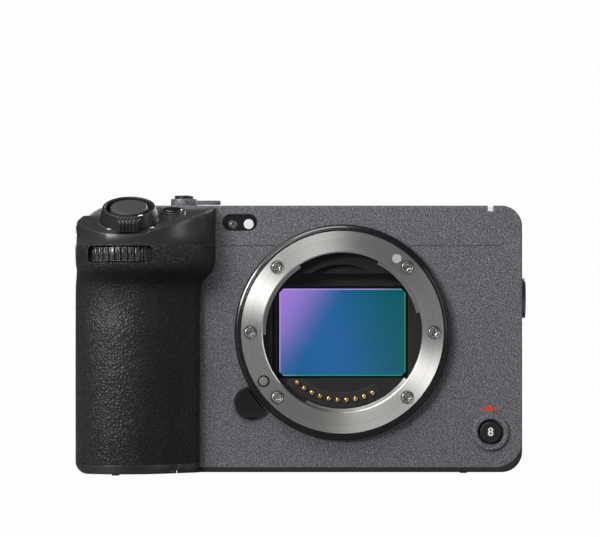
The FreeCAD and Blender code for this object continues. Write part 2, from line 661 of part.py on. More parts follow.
def top_cover():
    region = box(-FAR, FAR, -FAR, REAR_SPLIT - SEAT, SEAM_HEIGHT, FAR)
    cover = SHELL.common(region)
    cover = cover.cut(cyl_y(0.0, BODY_FRONT - 1, BODY_FRONT + WALL + 1, AXIS_HEIGHT, MOUNT_HOLE_R + SEAT))
    cover = cover.cut(window_form(SEAT, BODY_FRONT - 1, BODY_FRONT + WALL + 1))
    cover = cover.cut(tally_form(SEAT))
    for x, y in TOP_THREADS:
        cover = cover.cut(cyl_z(x, y, BODY_TOP - WALL - 1, BODY_TOP + 1, INSERT_R + SEAT))
    for x, y in TOP_KEYS:
        cover = cover.cut(cyl_z(x, y, BODY_TOP - WALL - 1, BODY_TOP + 1, TOP_KEY_R + SLIDE))
    cover = cover.cut(cyl_z(POWER_X, POWER_Y, BODY_TOP - WALL - 1, BODY_TOP + 1, POWER_STEM_R + SLIDE))
    cover = cover.cut(box(-SHOE_X - SHOE_WALL - SEAT, SHOE_X + SHOE_WALL + SEAT,
                          SHOE_Y0 - SHOE_WALL - SEAT, SHOE_Y1 + SEAT,
                          BODY_TOP - WALL - 1, BODY_TOP + 1))
    cover = cover.cut(cyl_x(BODY_LEFT - 1, BODY_LEFT + WALL + 1, LEFT_BOSS_Y, LEFT_BOSS_Z, INSERT_R + SEAT))
    dial_well = cyl_z(REAR_DIAL_X, REAR_DIAL_Y, REAR_DIAL_Z0 - GAP, REAR_DIAL_Z1 + GAP, REAR_DIAL_R + GAP)
    dial_pin = cyl_z(REAR_DIAL_X, REAR_DIAL_Y, REAR_DIAL_Z0, REAR_PIN_TOP + SEAT, DIAL_PIN_R + RUN)
    return cut(cover, dial_well, dial_pin)


def rear_cover():
    region = box(-FAR, FAR, REAR_SPLIT, FAR, -FAR, FAR)
    cover = SHELL.common(region)
    thumb = rounded_plate_y(THUMB_X0, THUMB_X1, BODY_REAR - 0.5, BODY_REAR + THUMB_OUT,
                            THUMB_Z0, THUMB_Z1, THUMB_CORNER)
    start = V(-FAR, BODY_REAR, THUMB_Z0 - 1)
    under = V(-FAR, BODY_REAR + THUMB_OUT + 1, THUMB_Z0 - 1)
    top = V(-FAR, BODY_REAR + THUMB_OUT + 1, THUMB_SLOPE_TOP)
    slope = Part.Face(Part.makePolygon([start, under, top, start])).extrude(V(2 * FAR, 0, 0))
    cover = cover.fuse(thumb.cut(slope))
    lug_z = ((HINGE_Z0 - LUG_TALL, HINGE_Z0 - GAP), (HINGE_Z1 + GAP, HINGE_Z1 + LUG_TALL))
    for z0, z1 in lug_z:
        lug = fuse(box(HINGE_X - HINGE_R, HINGE_X + HINGE_R, BODY_REAR - 0.5, HINGE_Y, z0, z1),
                   cyl_z(HINGE_X, HINGE_Y, z0, z1, HINGE_R))
        cover = cover.fuse(lug)
    pin = cyl_z(HINGE_X, HINGE_Y, HINGE_Z0 - HINGE_PIN_LONG - GAP, HINGE_Z1 + HINGE_PIN_LONG + GAP,
                HINGE_PIN_R + RUN)
    holes = [cyl_y(WHEEL_X, BODY_REAR - WALL - 1, BODY_REAR + 1, WHEEL_Z, WHEEL_STEM_R + RUN),
             cyl_y(STICK_X, BODY_REAR - WALL - 1, BODY_REAR + 1, STICK_Z, STICK_HOLE_R),
             cyl_z(REAR_DIAL_X, REAR_DIAL_Y, REAR_DIAL_Z0 - GAP, REAR_DIAL_Z1 + GAP, REAR_DIAL_R + GAP)]
    for x, z in (MENU_KEY, PLAY_KEY):
        holes.append(cyl_y(x, BODY_REAR - WALL - 1, BODY_REAR + 1, z, REAR_KEY_R + SLIDE))
    return cut(cover.removeSplitter(), pin, *holes)


def battery_door_hole(extra):
    x0, x1, y0, y1 = BATTERY_DOOR
    return box(x0 - extra, x1 + extra, y0 - extra, y1 + extra, -1.0, GRIP_BAND_TOP + 0.5)


def base_plate():
    """Black base: the shell's lowest part, the band round the corner, the grip's foot and four low pads."""
    band = BLOCK.common(box(-FAR, FAR, -FAR, REAR_SPLIT - SEAT, -1.0, BAND_TALL))
    band = band.cut(grey_prism(-FAR / 2, FAR / 2))
    floor = BLOCK.common(box(BODY_LEFT + 2.0, BODY_RIGHT - GREY_CORNER_R, BODY_FRONT + WALL + SEAT,
                             REAR_SPLIT - SEAT, BASE_BOTTOM, BASE_TOP))
    foot = GRIP_OUTER.common(box(-FAR, GRIP_SPLIT, -FAR, REAR_SPLIT - SEAT, BASE_BOTTOM, GRIP_BAND_TOP))
    pads = [rounded_plate_z(x - FOOT_HALF_WIDE, x + FOOT_HALF_WIDE, y - FOOT_HALF_LONG, y + FOOT_HALF_LONG,
                            0.0, BASE_BOTTOM + FOOT_ROOT, FOOT_CORNER) for x, y in FEET]
    plate = fuse(band, floor, foot, *pads)
    socket = cyl_z(0.0, 0.0, -1.0, BASE_TOP + 2, SOCKET_R + SEAT)
    return cut(plate, socket, battery_door_hole(GAP), battery_door_pins(RUN))


def tripod_socket():
    """Steel bush in the base, its face level with the feet, with a blind thread."""
    bush = fuse(cyl_z(0.0, 0.0, 0.0, BASE_TOP + SEAT, SOCKET_R),
                cyl_z(0.0, 0.0, BASE_TOP + SEAT, SOCKET_DEPTH + THREAD_FLOOR, SOCKET_FLANGE_R))
    return bush.cut(cyl_z(0.0, 0.0, -1.0, SOCKET_DEPTH, THREAD_R))


# Grip


def grip_skin():
    """Leather-textured cover: the palm in front and the left side back to the rear cover."""
    skin = GRIP_OUTER.cut(GRIP_INNER)
    front = box(-FAR, FAR, -FAR, BODY_FRONT, GRIP_BAND_TOP + SEAT, SEAM_HEIGHT - SEAT)
    side = box(-FAR, BODY_LEFT + 20, BODY_FRONT, REAR_SPLIT - SEAT, GRIP_BAND_TOP + SEAT, SEAM_HEIGHT - SEAT)
    skin = skin.common(front.fuse(side))
    slot = rounded_plate_y(SLOT_X0, SLOT_X1, -60.0, -20.0, DIAL_Z0 - GAP, DIAL_Z1 + GAP, SLOT_CORNER)
    y0, y1, z0, z1 = CARD_DOOR
    card_hole = box(-FAR, -60.0, y0 - GAP, y1 + GAP, z0 - GAP, z1 + GAP)
    boss_hole = cyl_x(-FAR, -60.0, LEFT_BOSS_Y, LEFT_BOSS_Z, INSERT_R + SEAT)
    return cut(skin, slot, card_hole, boss_hole, card_door_pins(RUN))


def battery_block(extra):
    return box(BATTERY_X - extra, BATTERY_X + BATTERY_WIDE + extra, BATTERY_Y - extra,
               BATTERY_Y + BATTERY_DEEP + extra, BATTERY_Z - extra, BATTERY_Z + BATTERY_TALL + extra)


def battery():
    block = battery_block(0.0)
    edges = [edge for edge in block.Edges if abs(edge.tangentAt(edge.FirstParameter).z) > 0.9]
    return block.makeFillet(BATTERY_CORNER, edges)


def grip_frame():
    """Moulded frame inside the grip, with the battery's bay, the dial's pocket and the card bay."""
    frame = GRIP_CORE.common(box(-FAR, FRAME_INNER_X, -FAR, REAR_SPLIT - SEAT,
                                 GRIP_BAND_TOP + SEAT, SEAM_HEIGHT - SEAT))
    bay = battery_block(SLIDE).fuse(box(BATTERY_X - SLIDE, BATTERY_X + BATTERY_WIDE + SLIDE, BATTERY_Y - SLIDE,
                                        BATTERY_Y + BATTERY_DEEP + SLIDE, 0.0, BATTERY_Z + 1.0))
    dial_pocket = cyl_z(DIAL_X, DIAL_Y, DIAL_Z0 - GAP, SEAM_HEIGHT + 1, DIAL_R + GAP)
    dial_bore = cyl_z(DIAL_X, DIAL_Y, DIAL_Z0 - DIAL_PIN_UNDER - GAP, SEAM_HEIGHT + 1, DIAL_PIN_R + RUN)
    y0, y1, z0, z1 = CARD_DOOR
    card_way = box(-FAR, CARD_X0, y0 - GAP, y1 + GAP, z0 - GAP, z1 + GAP)
    card_bay = box(CARD_X0 - SEAT, FAR, CARD_Y0 - SEAT, FAR, CARD_Z0 - SEAT, CARD_Z1 + SEAT)
    wheel_room = box(FRAME_INNER_X - 12.0, FAR, CARD_Y0 - SEAT, FAR, 0.0, SEAM_HEIGHT + 1)
    boss_hole = cyl_x(-FAR, BODY_LEFT + INSERT_DEEP, LEFT_BOSS_Y, LEFT_BOSS_Z, INSERT_R + SEAT)
    return cut(frame, bay, dial_pocket, dial_bore, card_way, card_bay, wheel_room, boss_hole,
               card_door_pins(RUN))


def grip_top_cover():
    """Smooth black head: sloped roof with the lever's tilted pad and the small button's bezel."""
    front = box(-FAR, FAR, -FAR, BODY_FRONT, SEAM_HEIGHT, FAR)
    head = GRIP_OUTER.common(front).common(head_roof(0.0))
    inside = GRIP_INNER.common(front).common(head_roof(ROOF_THICK))
    head = head.cut(inside)
    pad = tilted(Part.makeCylinder(PAD_R, PAD_THICK, V(0, 0, -PAD_THICK)), SHUTTER_BASE, HEAD_ANGLE)
    pad = pad.common(GRIP_OUTER)
    spigot = tilted(Part.makeCylinder(SHUTTER_R + SLIDE - RUN, 1.5, V(0, 0, -0.5)), SHUTTER_BASE, HEAD_ANGLE)
    bezel = tilted(Part.makeCylinder(CUSTOM_BEZEL_R, CUSTOM_BEZEL_DEEP + CUSTOM_BEZEL_STAND,
                                      V(0, 0, -CUSTOM_BEZEL_DEEP)), CUSTOM_BASE, CUSTOM_ANGLE)
    sweep = math.hypot(LEVER_TAB_REACH, LEVER_TAB_WIDE / 2) + GAP
    above = tilted(Part.makeCylinder(sweep, 2 * LEVER_TALL), SHUTTER_BASE, HEAD_ANGLE)
    head = head.cut(above).fuse(fuse(pad, spigot)).fuse(bezel).removeSplitter()
    stem = tilted(Part.makeCylinder(STEM_R + SLIDE, 12.0, V(0, 0, -8.0)), SHUTTER_BASE, HEAD_ANGLE)
    small = tilted(Part.makeCylinder(CUSTOM_R + SLIDE, 9.0, V(0, 0, -6.0)), CUSTOM_BASE, CUSTOM_ANGLE)
    dial_pin = cyl_z(DIAL_X, DIAL_Y, DIAL_Z0, SEAM_HEIGHT + DIAL_PIN_OVER + GAP, DIAL_PIN_R + RUN)
    return cut(head, stem, small, dial_pin)


def shutter_button():
    cap = Part.makeCylinder(SHUTTER_R, LEVER_TALL - SHUTTER_CAP_BASE, V(0, 0, SHUTTER_CAP_BASE))
    rim = [edge for edge in cap.Edges if edge.BoundBox.ZMin > LEVER_TALL - 0.01]
    cap = cap.makeFillet(SHUTTER_EDGE, rim)
    stem = Part.makeCylinder(STEM_R, PAD_THICK + SHUTTER_CAP_BASE, V(0, 0, -PAD_THICK))
    return tilted(fuse(cap, stem), SHUTTER_BASE, HEAD_ANGLE)


def zoom_lever():
    """Ring round the shutter button with a ribbed finger tab in front."""
    ring = Part.makeCone(LEVER_SKIRT_R, LEVER_RIM_R, LEVER_TALL - SLIDE, V(0, 0, SLIDE))
    tab = box(-LEVER_TAB_WIDE / 2, LEVER_TAB_WIDE / 2, -LEVER_TAB_REACH, -LEVER_RIM_R + 1.0,
              SLIDE, LEVER_TAB_TALL)
    outer = V(-FAR, -LEVER_TAB_REACH - 1, LEVER_TAB_TALL)
    foot = V(-FAR, -LEVER_TAB_REACH - 1, LEVER_TAB_TALL / 3)
    inner = V(-FAR, -LEVER_RIM_R, LEVER_TAB_TALL)
    tab = tab.cut(Part.Face(Part.makePolygon([outer, foot, inner, outer])).extrude(V(2 * FAR, 0, 0)))
    pitch = LEVER_TAB_WIDE / LEVER_RIBS
    for index in range(LEVER_RIBS):
        x = -LEVER_TAB_WIDE / 2 + pitch * (index + 0.5)
        tab = tab.cut(box(x - pitch * 0.22, x + pitch * 0.22, -LEVER_TAB_REACH - 1,
                          -LEVER_TAB_REACH + LEVER_RIB_DEEP, 0.0, LEVER_TALL))
    bore = Part.makeCylinder(SHUTTER_R + SLIDE, 3 * LEVER_TALL, V(0, 0, -LEVER_TALL))
    return tilted(ring.fuse(tab).removeSplitter().cut(bore), SHUTTER_BASE, HEAD_ANGLE)


def custom_button():
    cap = Part.makeCylinder(CUSTOM_R, CUSTOM_DEEP + CUSTOM_TOP, V(0, 0, -CUSTOM_DEEP))
    rim = [edge for edge in cap.Edges if edge.BoundBox.ZMin > CUSTOM_TOP - 0.1]
    return tilted(cap.makeFillet(CUSTOM_EDGE, rim), CUSTOM_BASE, CUSTOM_ANGLE)


def front_dial():
    wheel = knurled_disc(DIAL_R, DIAL_Z1 - DIAL_Z0, DIAL_TEETH, DIAL_NOTCH)
    wheel.translate(V(DIAL_X, DIAL_Y, DIAL_Z0))
    pin = cyl_z(DIAL_X, DIAL_Y, DIAL_Z0 - DIAL_PIN_UNDER, SEAM_HEIGHT + DIAL_PIN_OVER, DIAL_PIN_R)
    return fuse(wheel, pin)


# Doors

def pinned_door(x_mid, half, y0, y1, z0, z1):
    """Side door with a round hinge edge in front and two stub pins on an upright axis."""
    axis_y = y0 + half
    leaf = box(x_mid - half, x_mid + half, axis_y, y1, z0, z1)
    return fuse(leaf, cyl_z(x_mid, axis_y, z0, z1, half), side_pins(x_mid, axis_y, z0, z1, 0.0))


def side_pins(x_mid, axis_y, z0, z1, extra):
    reach = GAP + PIN_LENGTH + extra
    return cyl_z(x_mid, axis_y, z0 - reach, z1 + reach, DOOR_PIN_R + extra)


def card_door_pins(extra):
    y0, y1, z0, z1 = CARD_DOOR
    return side_pins(CARD_DOOR_X, y0 + DOOR_HALF, z0, z1, extra)


def card_door():
    y0, y1, z0, z1 = CARD_DOOR
    return pinned_door(CARD_DOOR_X, DOOR_HALF, y0, y1, z0, z1)


def side_door(size):
    y0, y1, z0, z1 = size
    return pinned_door(SIDE_DOOR_X, DOOR_HALF, y0 + GAP, y1 - GAP, z0 + GAP, z1 - GAP)


def side_door_pins(size, extra):
    y0, y1, z0, z1 = size
    return side_pins(SIDE_DOOR_X, y0 + GAP + DOOR_HALF, z0 + GAP, z1 - GAP, extra)


def battery_door_pins(extra):
    x0, x1, y0, y1 = BATTERY_DOOR
    axis = V(x1 - BATTERY_DOOR_HALF, y0 - GAP - PIN_LENGTH - extra, BASE_BOTTOM + BATTERY_DOOR_HALF)
    return Part.makeCylinder(DOOR_PIN_R + extra, y1 - y0 + 2 * (GAP + PIN_LENGTH + extra), axis, V(0, 1, 0))


def battery_door():
    x0, x1, y0, y1 = BATTERY_DOOR
    axis_x = x1 - BATTERY_DOOR_HALF
    top = BASE_BOTTOM + 2 * BATTERY_DOOR_HALF
    leaf = rounded_plate_z(x0, axis_x + BATTERY_DOOR_CORNER, y0, y1, BASE_BOTTOM, top, BATTERY_DOOR_CORNER)
    leaf = leaf.common(box(-FAR, axis_x, -FAR, FAR, -FAR, FAR))
    edge = cyl_y(axis_x, y0, y1, BASE_BOTTOM + BATTERY_DOOR_HALF, BATTERY_DOOR_HALF)
    pocket = box(LATCH_X - LATCH_HALF_LONG - SLIDE, LATCH_X + LATCH_HALF_LONG + LATCH_TRAVEL + SLIDE,
                 LATCH_Y - LATCH_HALF_WIDE - SLIDE, LATCH_Y + LATCH_HALF_WIDE + SLIDE,
                 BASE_BOTTOM - 1.0, BASE_BOTTOM + LATCH_THICK + SLIDE)
    return cut(fuse(leaf, edge, battery_door_pins(0.0)), pocket)


def door_latch():
    slab = box(LATCH_X - LATCH_HALF_LONG, LATCH_X + LATCH_HALF_LONG, LATCH_Y - LATCH_HALF_WIDE,
               LATCH_Y + LATCH_HALF_WIDE, BASE_BOTTOM, BASE_BOTTOM + LATCH_THICK)
    for offset in (-1.6, 0.0, 1.6):
        slab = slab.cut(box(LATCH_X + offset - 0.3, LATCH_X + offset + 0.3, LATCH_Y - 1.4, LATCH_Y + 1.4,
                            BASE_BOTTOM - 1.0, BASE_BOTTOM + 0.3))
    return slab


# Lens mount and what lies behind it


def at_axis(x0, x1, y0, y1, low, high):
    """Box placed by its heights below and above the optical axis."""
    return box(x0, x1, y0, y1, AXIS_HEIGHT + low, AXIS_HEIGHT + high)


def screw_places():
    return [on_mount(SCREW_CIRCLE_R, angle) for angle in SCREW_ANGLES]


def sector(inner, outer, start, stop, y0, y1):
    """Part of a ring round the optical axis between two angles."""
    corner = {}
    ends = (("a", inner, start), ("b", outer, start), ("c", outer, stop), ("d", inner, stop))
    for name, radius, angle in ends:
        x, z = on_mount(radius, angle)
        corner[name] = V(x, y0, z)
    middle = (start + stop) / 2
    outer_x, outer_z = on_mount(outer, middle)
    inner_x, inner_z = on_mount(inner, middle)
    edges = [Part.LineSegment(corner["a"], corner["b"]).toShape(),
             Part.Arc(corner["b"], V(outer_x, y0, outer_z), corner["c"]).toShape(),
             Part.LineSegment(corner["c"], corner["d"]).toShape(),
             Part.Arc(corner["d"], V(inner_x, y0, inner_z), corner["a"]).toShape()]
    return Part.Face(Part.Wire(edges)).extrude(V(0, y1 - y0, 0))


def mount_base_ring():
    """Black ring that stands on the front cover and carries the steel mount."""
    stand = MOUNT_STAND - BASE_RING_STEP
    cone = Part.makeCone(BASE_RING_R, BASE_RING_TOP_R, stand, V(0, BODY_FRONT, AXIS_HEIGHT), V(0, -1, 0))
    spigot = cyl_y(0.0, BODY_FRONT, BODY_FRONT + SPIGOT_DEEP, AXIS_HEIGHT, MOUNT_HOLE_R)
    bore = cyl_y(0.0, FLANGE_Y - 1, BODY_FRONT + SPIGOT_DEEP + 1, AXIS_HEIGHT, BASE_BORE_R)
    seat = cyl_y(0.0, FLANGE_Y - 1, RING_SEAT_Y + SEAT, AXIS_HEIGHT, MOUNT_R + SEAT)
    holes = [cyl_y(x, FLANGE_Y - 1, 0.0, z, SCREW_SHANK_R + SEAT) for x, z in screw_places()]
    x, z = on_mount(LOCK_PIN_CIRCLE_R, LOCK_PIN_ANGLE)
    holes.append(cyl_y(x, FLANGE_Y - 1, 0.0, z, LOCK_PIN_R + RUN))
    return cut(cone.fuse(spigot).removeSplitter(), bore, seat, *holes)


def lens_mount_ring():
    """Steel bayonet ring: flange face, throat bore and three tabs behind the lip."""
    ring = ring_y(0.0, FLANGE_Y, RING_SEAT_Y, AXIS_HEIGHT, MOUNT_R, THROAT_R)
    edge = Part.makeCone(THROAT_R + THROAT_EDGE, THROAT_R, THROAT_EDGE, V(0, FLANGE_Y, AXIS_HEIGHT), V(0, 1, 0))
    relief = cyl_y(0.0, FLANGE_Y + MOUNT_LIP_THICK, RING_SEAT_Y + 1, AXIS_HEIGHT, THROAT_R + MOUNT_RELIEF)
    ring = cut(ring, edge, relief)
    for start, stop in TAB_SPANS:
        y0 = FLANGE_Y + MOUNT_LIP_BACK
        ring = ring.fuse(sector(MOUNT_LIP_R, MOUNT_TAB_OUTER_R, start, stop, y0, y0 + MOUNT_TAB_THICK))
    ring = ring.removeSplitter()
    for x, z in screw_places():
        ring = ring.cut(cyl_y(x, FLANGE_Y - 1, 0.0, z, SCREW_SHANK_R + SEAT))
        ring = ring.cut(cyl_y(x, FLANGE_Y - 1, FLANGE_Y + SCREW_HEAD_DEEP, z, SCREW_HEAD_R + SEAT))
    x, z = on_mount(LOCK_PIN_CIRCLE_R, LOCK_PIN_ANGLE)
    ring = ring.cut(cyl_y(x, FLANGE_Y - 1, 0.0, z, LOCK_PIN_R + RUN))
    x, z = on_mount(INDEX_CIRCLE_R, INDEX_ANGLE)
    return ring.cut(cyl_y(x, FLANGE_Y - 1, FLANGE_Y + INDEX_DEEP + SEAT, z, INDEX_R + SEAT))


def mount_screws():
    screws = []
    for x, z in screw_places():
        head = cyl_y(x, FLANGE_Y + SCREW_SINK, FLANGE_Y + SCREW_HEAD_DEEP, z, SCREW_HEAD_R)
        shank_end = FRAME_PLATE_Y0 + FRAME_PLATE_THICK - GAP
        shank = cyl_y(x, FLANGE_Y + SCREW_HEAD_DEEP, shank_end, z, SCREW_SHANK_R)
        screw = head.fuse(shank).removeSplitter()
        for turn in (0, 90):
            slot = box(-CROSS_HALF_LONG, CROSS_HALF_LONG, FLANGE_Y - 1, FLANGE_Y + SCREW_SINK + CROSS_DEEP,
                       -CROSS_HALF_WIDE, CROSS_HALF_WIDE)
            slot.rotate(V(0, 0, 0), V(0, 1, 0), turn)
            slot.translate(V(x, 0, z))
            screw = screw.cut(slot)
        screws.append(screw)
    return Part.makeCompound(screws)


def mount_index_dot():
    x, z = on_mount(INDEX_CIRCLE_R, INDEX_ANGLE)
    return cyl_y(x, FLANGE_Y + SEAT, FLANGE_Y + INDEX_DEEP, z, INDEX_R)


def lens_lock_pin():
    x, z = on_mount(LOCK_PIN_CIRCLE_R, LOCK_PIN_ANGLE)
    return cyl_y(x, FLANGE_Y - LOCK_PIN_STAND, FRAME_PLATE_Y0 + LOCK_PIN_IN_FRAME, z, LOCK_PIN_R)


def release_button():
    return release_form(0.0, RELEASE_THICK)


def gate(y0, y1):
    opening = at_axis(-GATE_HALF_WIDE, GATE_HALF_WIDE, y0, y1, -GATE_LOW, GATE_HIGH)
    return opening.common(cyl_y(0.0, y0, y1, AXIS_HEIGHT, THROAT_R + MOUNT_RELIEF))


def contact_block_form(extra):
    """Crescent under the gate that holds the contact pins."""
    last = CONTACT_START + CONTACT_STEP * (CONTACT_COUNT - 1)
    block = sector(BLOCK_INNER_R - extra, BLOCK_OUTER_R + extra, CONTACT_START - CONTACT_MARGIN,
                   last + CONTACT_MARGIN, BLOCK_Y0, BLOCK_Y0 + BLOCK_THICK + extra)
    return block.common(at_axis(-FAR, FAR, -FAR, FAR, -FAR, -GATE_LOW - 0.2 + extra))


def contact_places():
    return [on_mount(CONTACT_CIRCLE_R, CONTACT_START + CONTACT_STEP * index) for index in range(CONTACT_COUNT)]


def contact_block():
    block = contact_block_form(0.0)
    for x, z in contact_places():
        block = block.cut(cyl_y(x, BLOCK_Y0 - 1, BLOCK_Y0 + BLOCK_THICK + 1, z, CONTACT_PIN_R + SEAT))
    return block


def contact_pins():
    front = BLOCK_Y0 - PIN_STAND
    pins = []
    for x, z in contact_places():
        pin = cyl_y(x, front, BLOCK_Y0 + BLOCK_THICK - SEAT, z, CONTACT_PIN_R)
        tip = [edge for edge in pin.Edges if edge.BoundBox.YMax < front + 0.01]
        pins.append(pin.makeFillet(CONTACT_TIP, tip))
    return Part.makeCompound(pins)


def light_box():
    """Black baffle behind the throat, with a gate the shape of the picture and a shallow bump above it."""
    back = FRAME_PLATE_Y0 + FRAME_PLATE_THICK
    body = cyl_y(0.0, LIGHT_BOX_FRONT, back, AXIS_HEIGHT, LIGHT_BOX_R)
    body = body.cut(gate(LIGHT_BOX_FRONT - 1, back + 1))
    rise = BUMP_HIGH - GATE_HIGH
    bump_r = (BUMP_HALF_WIDE ** 2 + rise ** 2) / (2 * rise)
    bump_z = AXIS_HEIGHT + BUMP_HIGH - bump_r
    bump = cyl_y(0.0, LIGHT_BOX_FRONT - 1, LIGHT_BOX_FRONT + BUMP_DEEP, bump_z, bump_r)
    return cut(body, bump.common(at_axis(-FAR, FAR, -FAR, FAR, 0.0, FAR)), contact_block_form(SEAT))


def chassis_frame():
    """Cast inner frame: plate behind the mount, posts to the heat sink and a foot to the socket."""
    y0 = FRAME_PLATE_Y0
    y1 = y0 + FRAME_PLATE_THICK
    plate = box(FRAME_X0, FRAME_X1, y0, y1, BASE_TOP + SEAT, FRAME_TOP)
    plate = plate.common(grey_prism(-FAR / 2, FAR / 2))
    foot = box(-FRAME_FOOT_HALF_WIDE, FRAME_FOOT_HALF_WIDE, y0, FRAME_FOOT_Y1, BASE_TOP + SEAT,
               BASE_TOP + FRAME_FOOT_THICK)
    posts = [cyl_y(x, y1 - 0.5, SINK_Y, AXIS_HEIGHT + z, POST_R)
             for x in (-SINK_HALF_WIDE + POST_R, SINK_HALF_WIDE - POST_R)
             for z in (SINK_LOW + POST_R, FRAME_TOP - AXIS_HEIGHT - 2 * POST_R)]
    frame = fuse(plate, foot, *posts)
    holes = [cyl_y(0.0, y0 - 1, y1 + 1, AXIS_HEIGHT, FRAME_BORE_R),
             cyl_z(0.0, 0.0, 0.0, SOCKET_DEPTH + THREAD_FLOOR + SEAT, SOCKET_FLANGE_R + SEAT),
             release_form(2 * SLIDE, RELEASE_DEEP),
             cyl_y(RECORD_X, y0 - 1, y1 + 1, RECORD_Z, RECORD_R + SLIDE)]
    holes += [cyl_y(x, y0 - 1, y1 + 1, z, SCREW_SHANK_R + SEAT) for x, z in screw_places()]
    x, z = on_mount(LOCK_PIN_CIRCLE_R, LOCK_PIN_ANGLE)
    holes.append(cyl_y(x, y0 - 1, y1 + 1, z, LOCK_PIN_R + RUN))
    return cut(frame, *holes)


def shutter_unit():
    """Focal-plane shutter: plate with the aperture, and its folded blades as thin ribs."""
    y0 = FRAME_PLATE_Y0 + FRAME_PLATE_THICK + SEAT
    half_wide, half_tall = SHUTTER_WIDE / 2, SHUTTER_TALL / 2
    plate = at_axis(-half_wide, half_wide, y0, y0 + SHUTTER_THICK, -half_tall, half_tall)
    plate = plate.cut(at_axis(-SHUTTER_GATE_HALF_WIDE, SHUTTER_GATE_HALF_WIDE, y0 - 1, y0 + SHUTTER_THICK + 1,
                              -SHUTTER_GATE_HALF_TALL, SHUTTER_GATE_HALF_TALL))
    room = at_axis(-SHUTTER_GATE_HALF_WIDE, SHUTTER_GATE_HALF_WIDE, y0 + 1.0, y0 + SHUTTER_THICK - 1.0,
                   SHUTTER_GATE_HALF_TALL - 1.0, BLADE_HIGH + BLADE_PITCH)
    blades = []
    for index in range(BLADE_COUNT):
        near = y0 + 1.0 + BLADE_THICK + BLADE_PITCH * index
        blades.append(at_axis(-BLADE_HALF_WIDE, BLADE_HALF_WIDE, near, near + BLADE_THICK,
                              BLADE_LOW + BLADE_PITCH * index, BLADE_HIGH))
    return fuse(plate.cut(room), *blades)


def image_sensor():
    plate = at_axis(-SENSOR_WIDE / 2, SENSOR_WIDE / 2, SENSOR_Y, SENSOR_Y + SENSOR_THICK,
                    -SENSOR_TALL / 2, SENSOR_TALL / 2)
    edges = [edge for edge in plate.Edges if abs(edge.tangentAt(edge.FirstParameter).y) > 0.9]
    return plate.makeChamfer(SENSOR_CORNER, edges)


def sensor_carrier():
    y0 = SENSOR_Y + SENSOR_THICK
    return rounded_plate_y(-CARRIER_WIDE / 2, CARRIER_WIDE / 2, y0, y0 + CARRIER_THICK,
                           AXIS_HEIGHT - CARRIER_TALL / 2, AXIS_HEIGHT + CARRIER_TALL / 2, PLATE_CORNER)


def stabiliser_stage():
    y0 = SENSOR_Y + SENSOR_THICK + CARRIER_THICK + SLIDE
    outer = rounded_plate_y(-STAGE_WIDE / 2, STAGE_WIDE / 2, y0, y0 + STAGE_THICK,
                            AXIS_HEIGHT - STAGE_TALL / 2, AXIS_HEIGHT + STAGE_TALL / 2, PLATE_CORNER)
    half_wide, half_tall = STAGE_WIDE / 2 - STAGE_RAIL, STAGE_TALL / 2 - STAGE_RAIL
    inner = at_axis(-half_wide, half_wide, y0 - 1, y0 + STAGE_THICK + 1, -half_tall, half_tall)
    return outer.cut(inner)


# Heat sink, fan and board


def heat_sink():
    """Finned plate behind the sensor, held by the frame's posts."""
    plate = at_axis(-SINK_HALF_WIDE, SINK_HALF_WIDE, SINK_Y, SINK_Y + SINK_THICK, SINK_LOW, SINK_HIGH)
    reach = SINK_HALF_WIDE - FIN_MARGIN
    fins = []
    for index in range(FIN_COUNT):
        x = -reach + 2 * reach * index / (FIN_COUNT - 1)
        fins.append(at_axis(x - FIN_HALF, x + FIN_HALF, SINK_Y + SINK_THICK, SINK_Y + SINK_THICK + FIN_TALL,
                            SINK_LOW + FIN_MARGIN, SINK_HIGH - FIN_MARGIN))
    return fuse(plate, *fins)


def fan_housing():
    """Open towards the vents in the side, with an intake hole in its front wall."""
    outer = box(FAN_HOUSE_X0, FAN_HOUSE_X1, FAN_HOUSE_Y0, FAN_HOUSE_Y1, FAN_HOUSE_Z0, FAN_HOUSE_Z1)
    inner = box(FAN_HOUSE_X0 + FAN_WALL, FAN_HOUSE_X1 + 1, FAN_HOUSE_Y0 + FAN_WALL, FAN_HOUSE_Y1 - FAN_WALL,
                FAN_HOUSE_Z0 + FAN_WALL, FAN_HOUSE_Z1 - FAN_WALL)
    intake = ring_y(FAN_X, FAN_HOUSE_Y0 - 1, FAN_HOUSE_Y0 + FAN_WALL + 0.5, FAN_Z, FAN_R - 1.5, FAN_HUB_R)
    spoke = box(FAN_X - FAN_SPOKE_HALF, FAN_X + FAN_SPOKE_HALF, FAN_HOUSE_Y0, FAN_HOUSE_Y0 + FAN_WALL,
                FAN_HOUSE_Z0 + FAN_WALL, FAN_HOUSE_Z1 - FAN_WALL)
    pin = cyl_y(FAN_X, FAN_HOUSE_Y0, FAN_HOUSE_Y1, FAN_Z, FAN_PIN_R)
    return fuse(outer.cut(inner).cut(intake), pin, spoke)


def fan_rotor():
    y0 = FAN_HOUSE_Y0 + FAN_WALL + SLIDE
    y1 = FAN_HOUSE_Y1 - FAN_WALL - SLIDE
    hub = cyl_y(FAN_X, y0, y1, FAN_Z, FAN_HUB_R)
    blades = []
    for index in range(FAN_BLADES):
        blade = box(FAN_HUB_R - 0.8, FAN_R, y0, y1, -FAN_BLADE_HALF, FAN_BLADE_HALF)
        blade.rotate(V(FAN_HUB_R, 0, 0), V(0, 1, 0), FAN_BLADE_ANGLE)
        blade.rotate(V(0, 0, 0), V(0, 1, 0), 360.0 * index / FAN_BLADES)
        blade.translate(V(FAN_X, 0, FAN_Z))
        blades.append(blade.common(cyl_y(FAN_X, y0, y1, FAN_Z, FAN_R)))
    return fuse(hub, *blades).cut(cyl_y(FAN_X, y0 - 1, y1 + 1, FAN_Z, FAN_PIN_R + RUN))


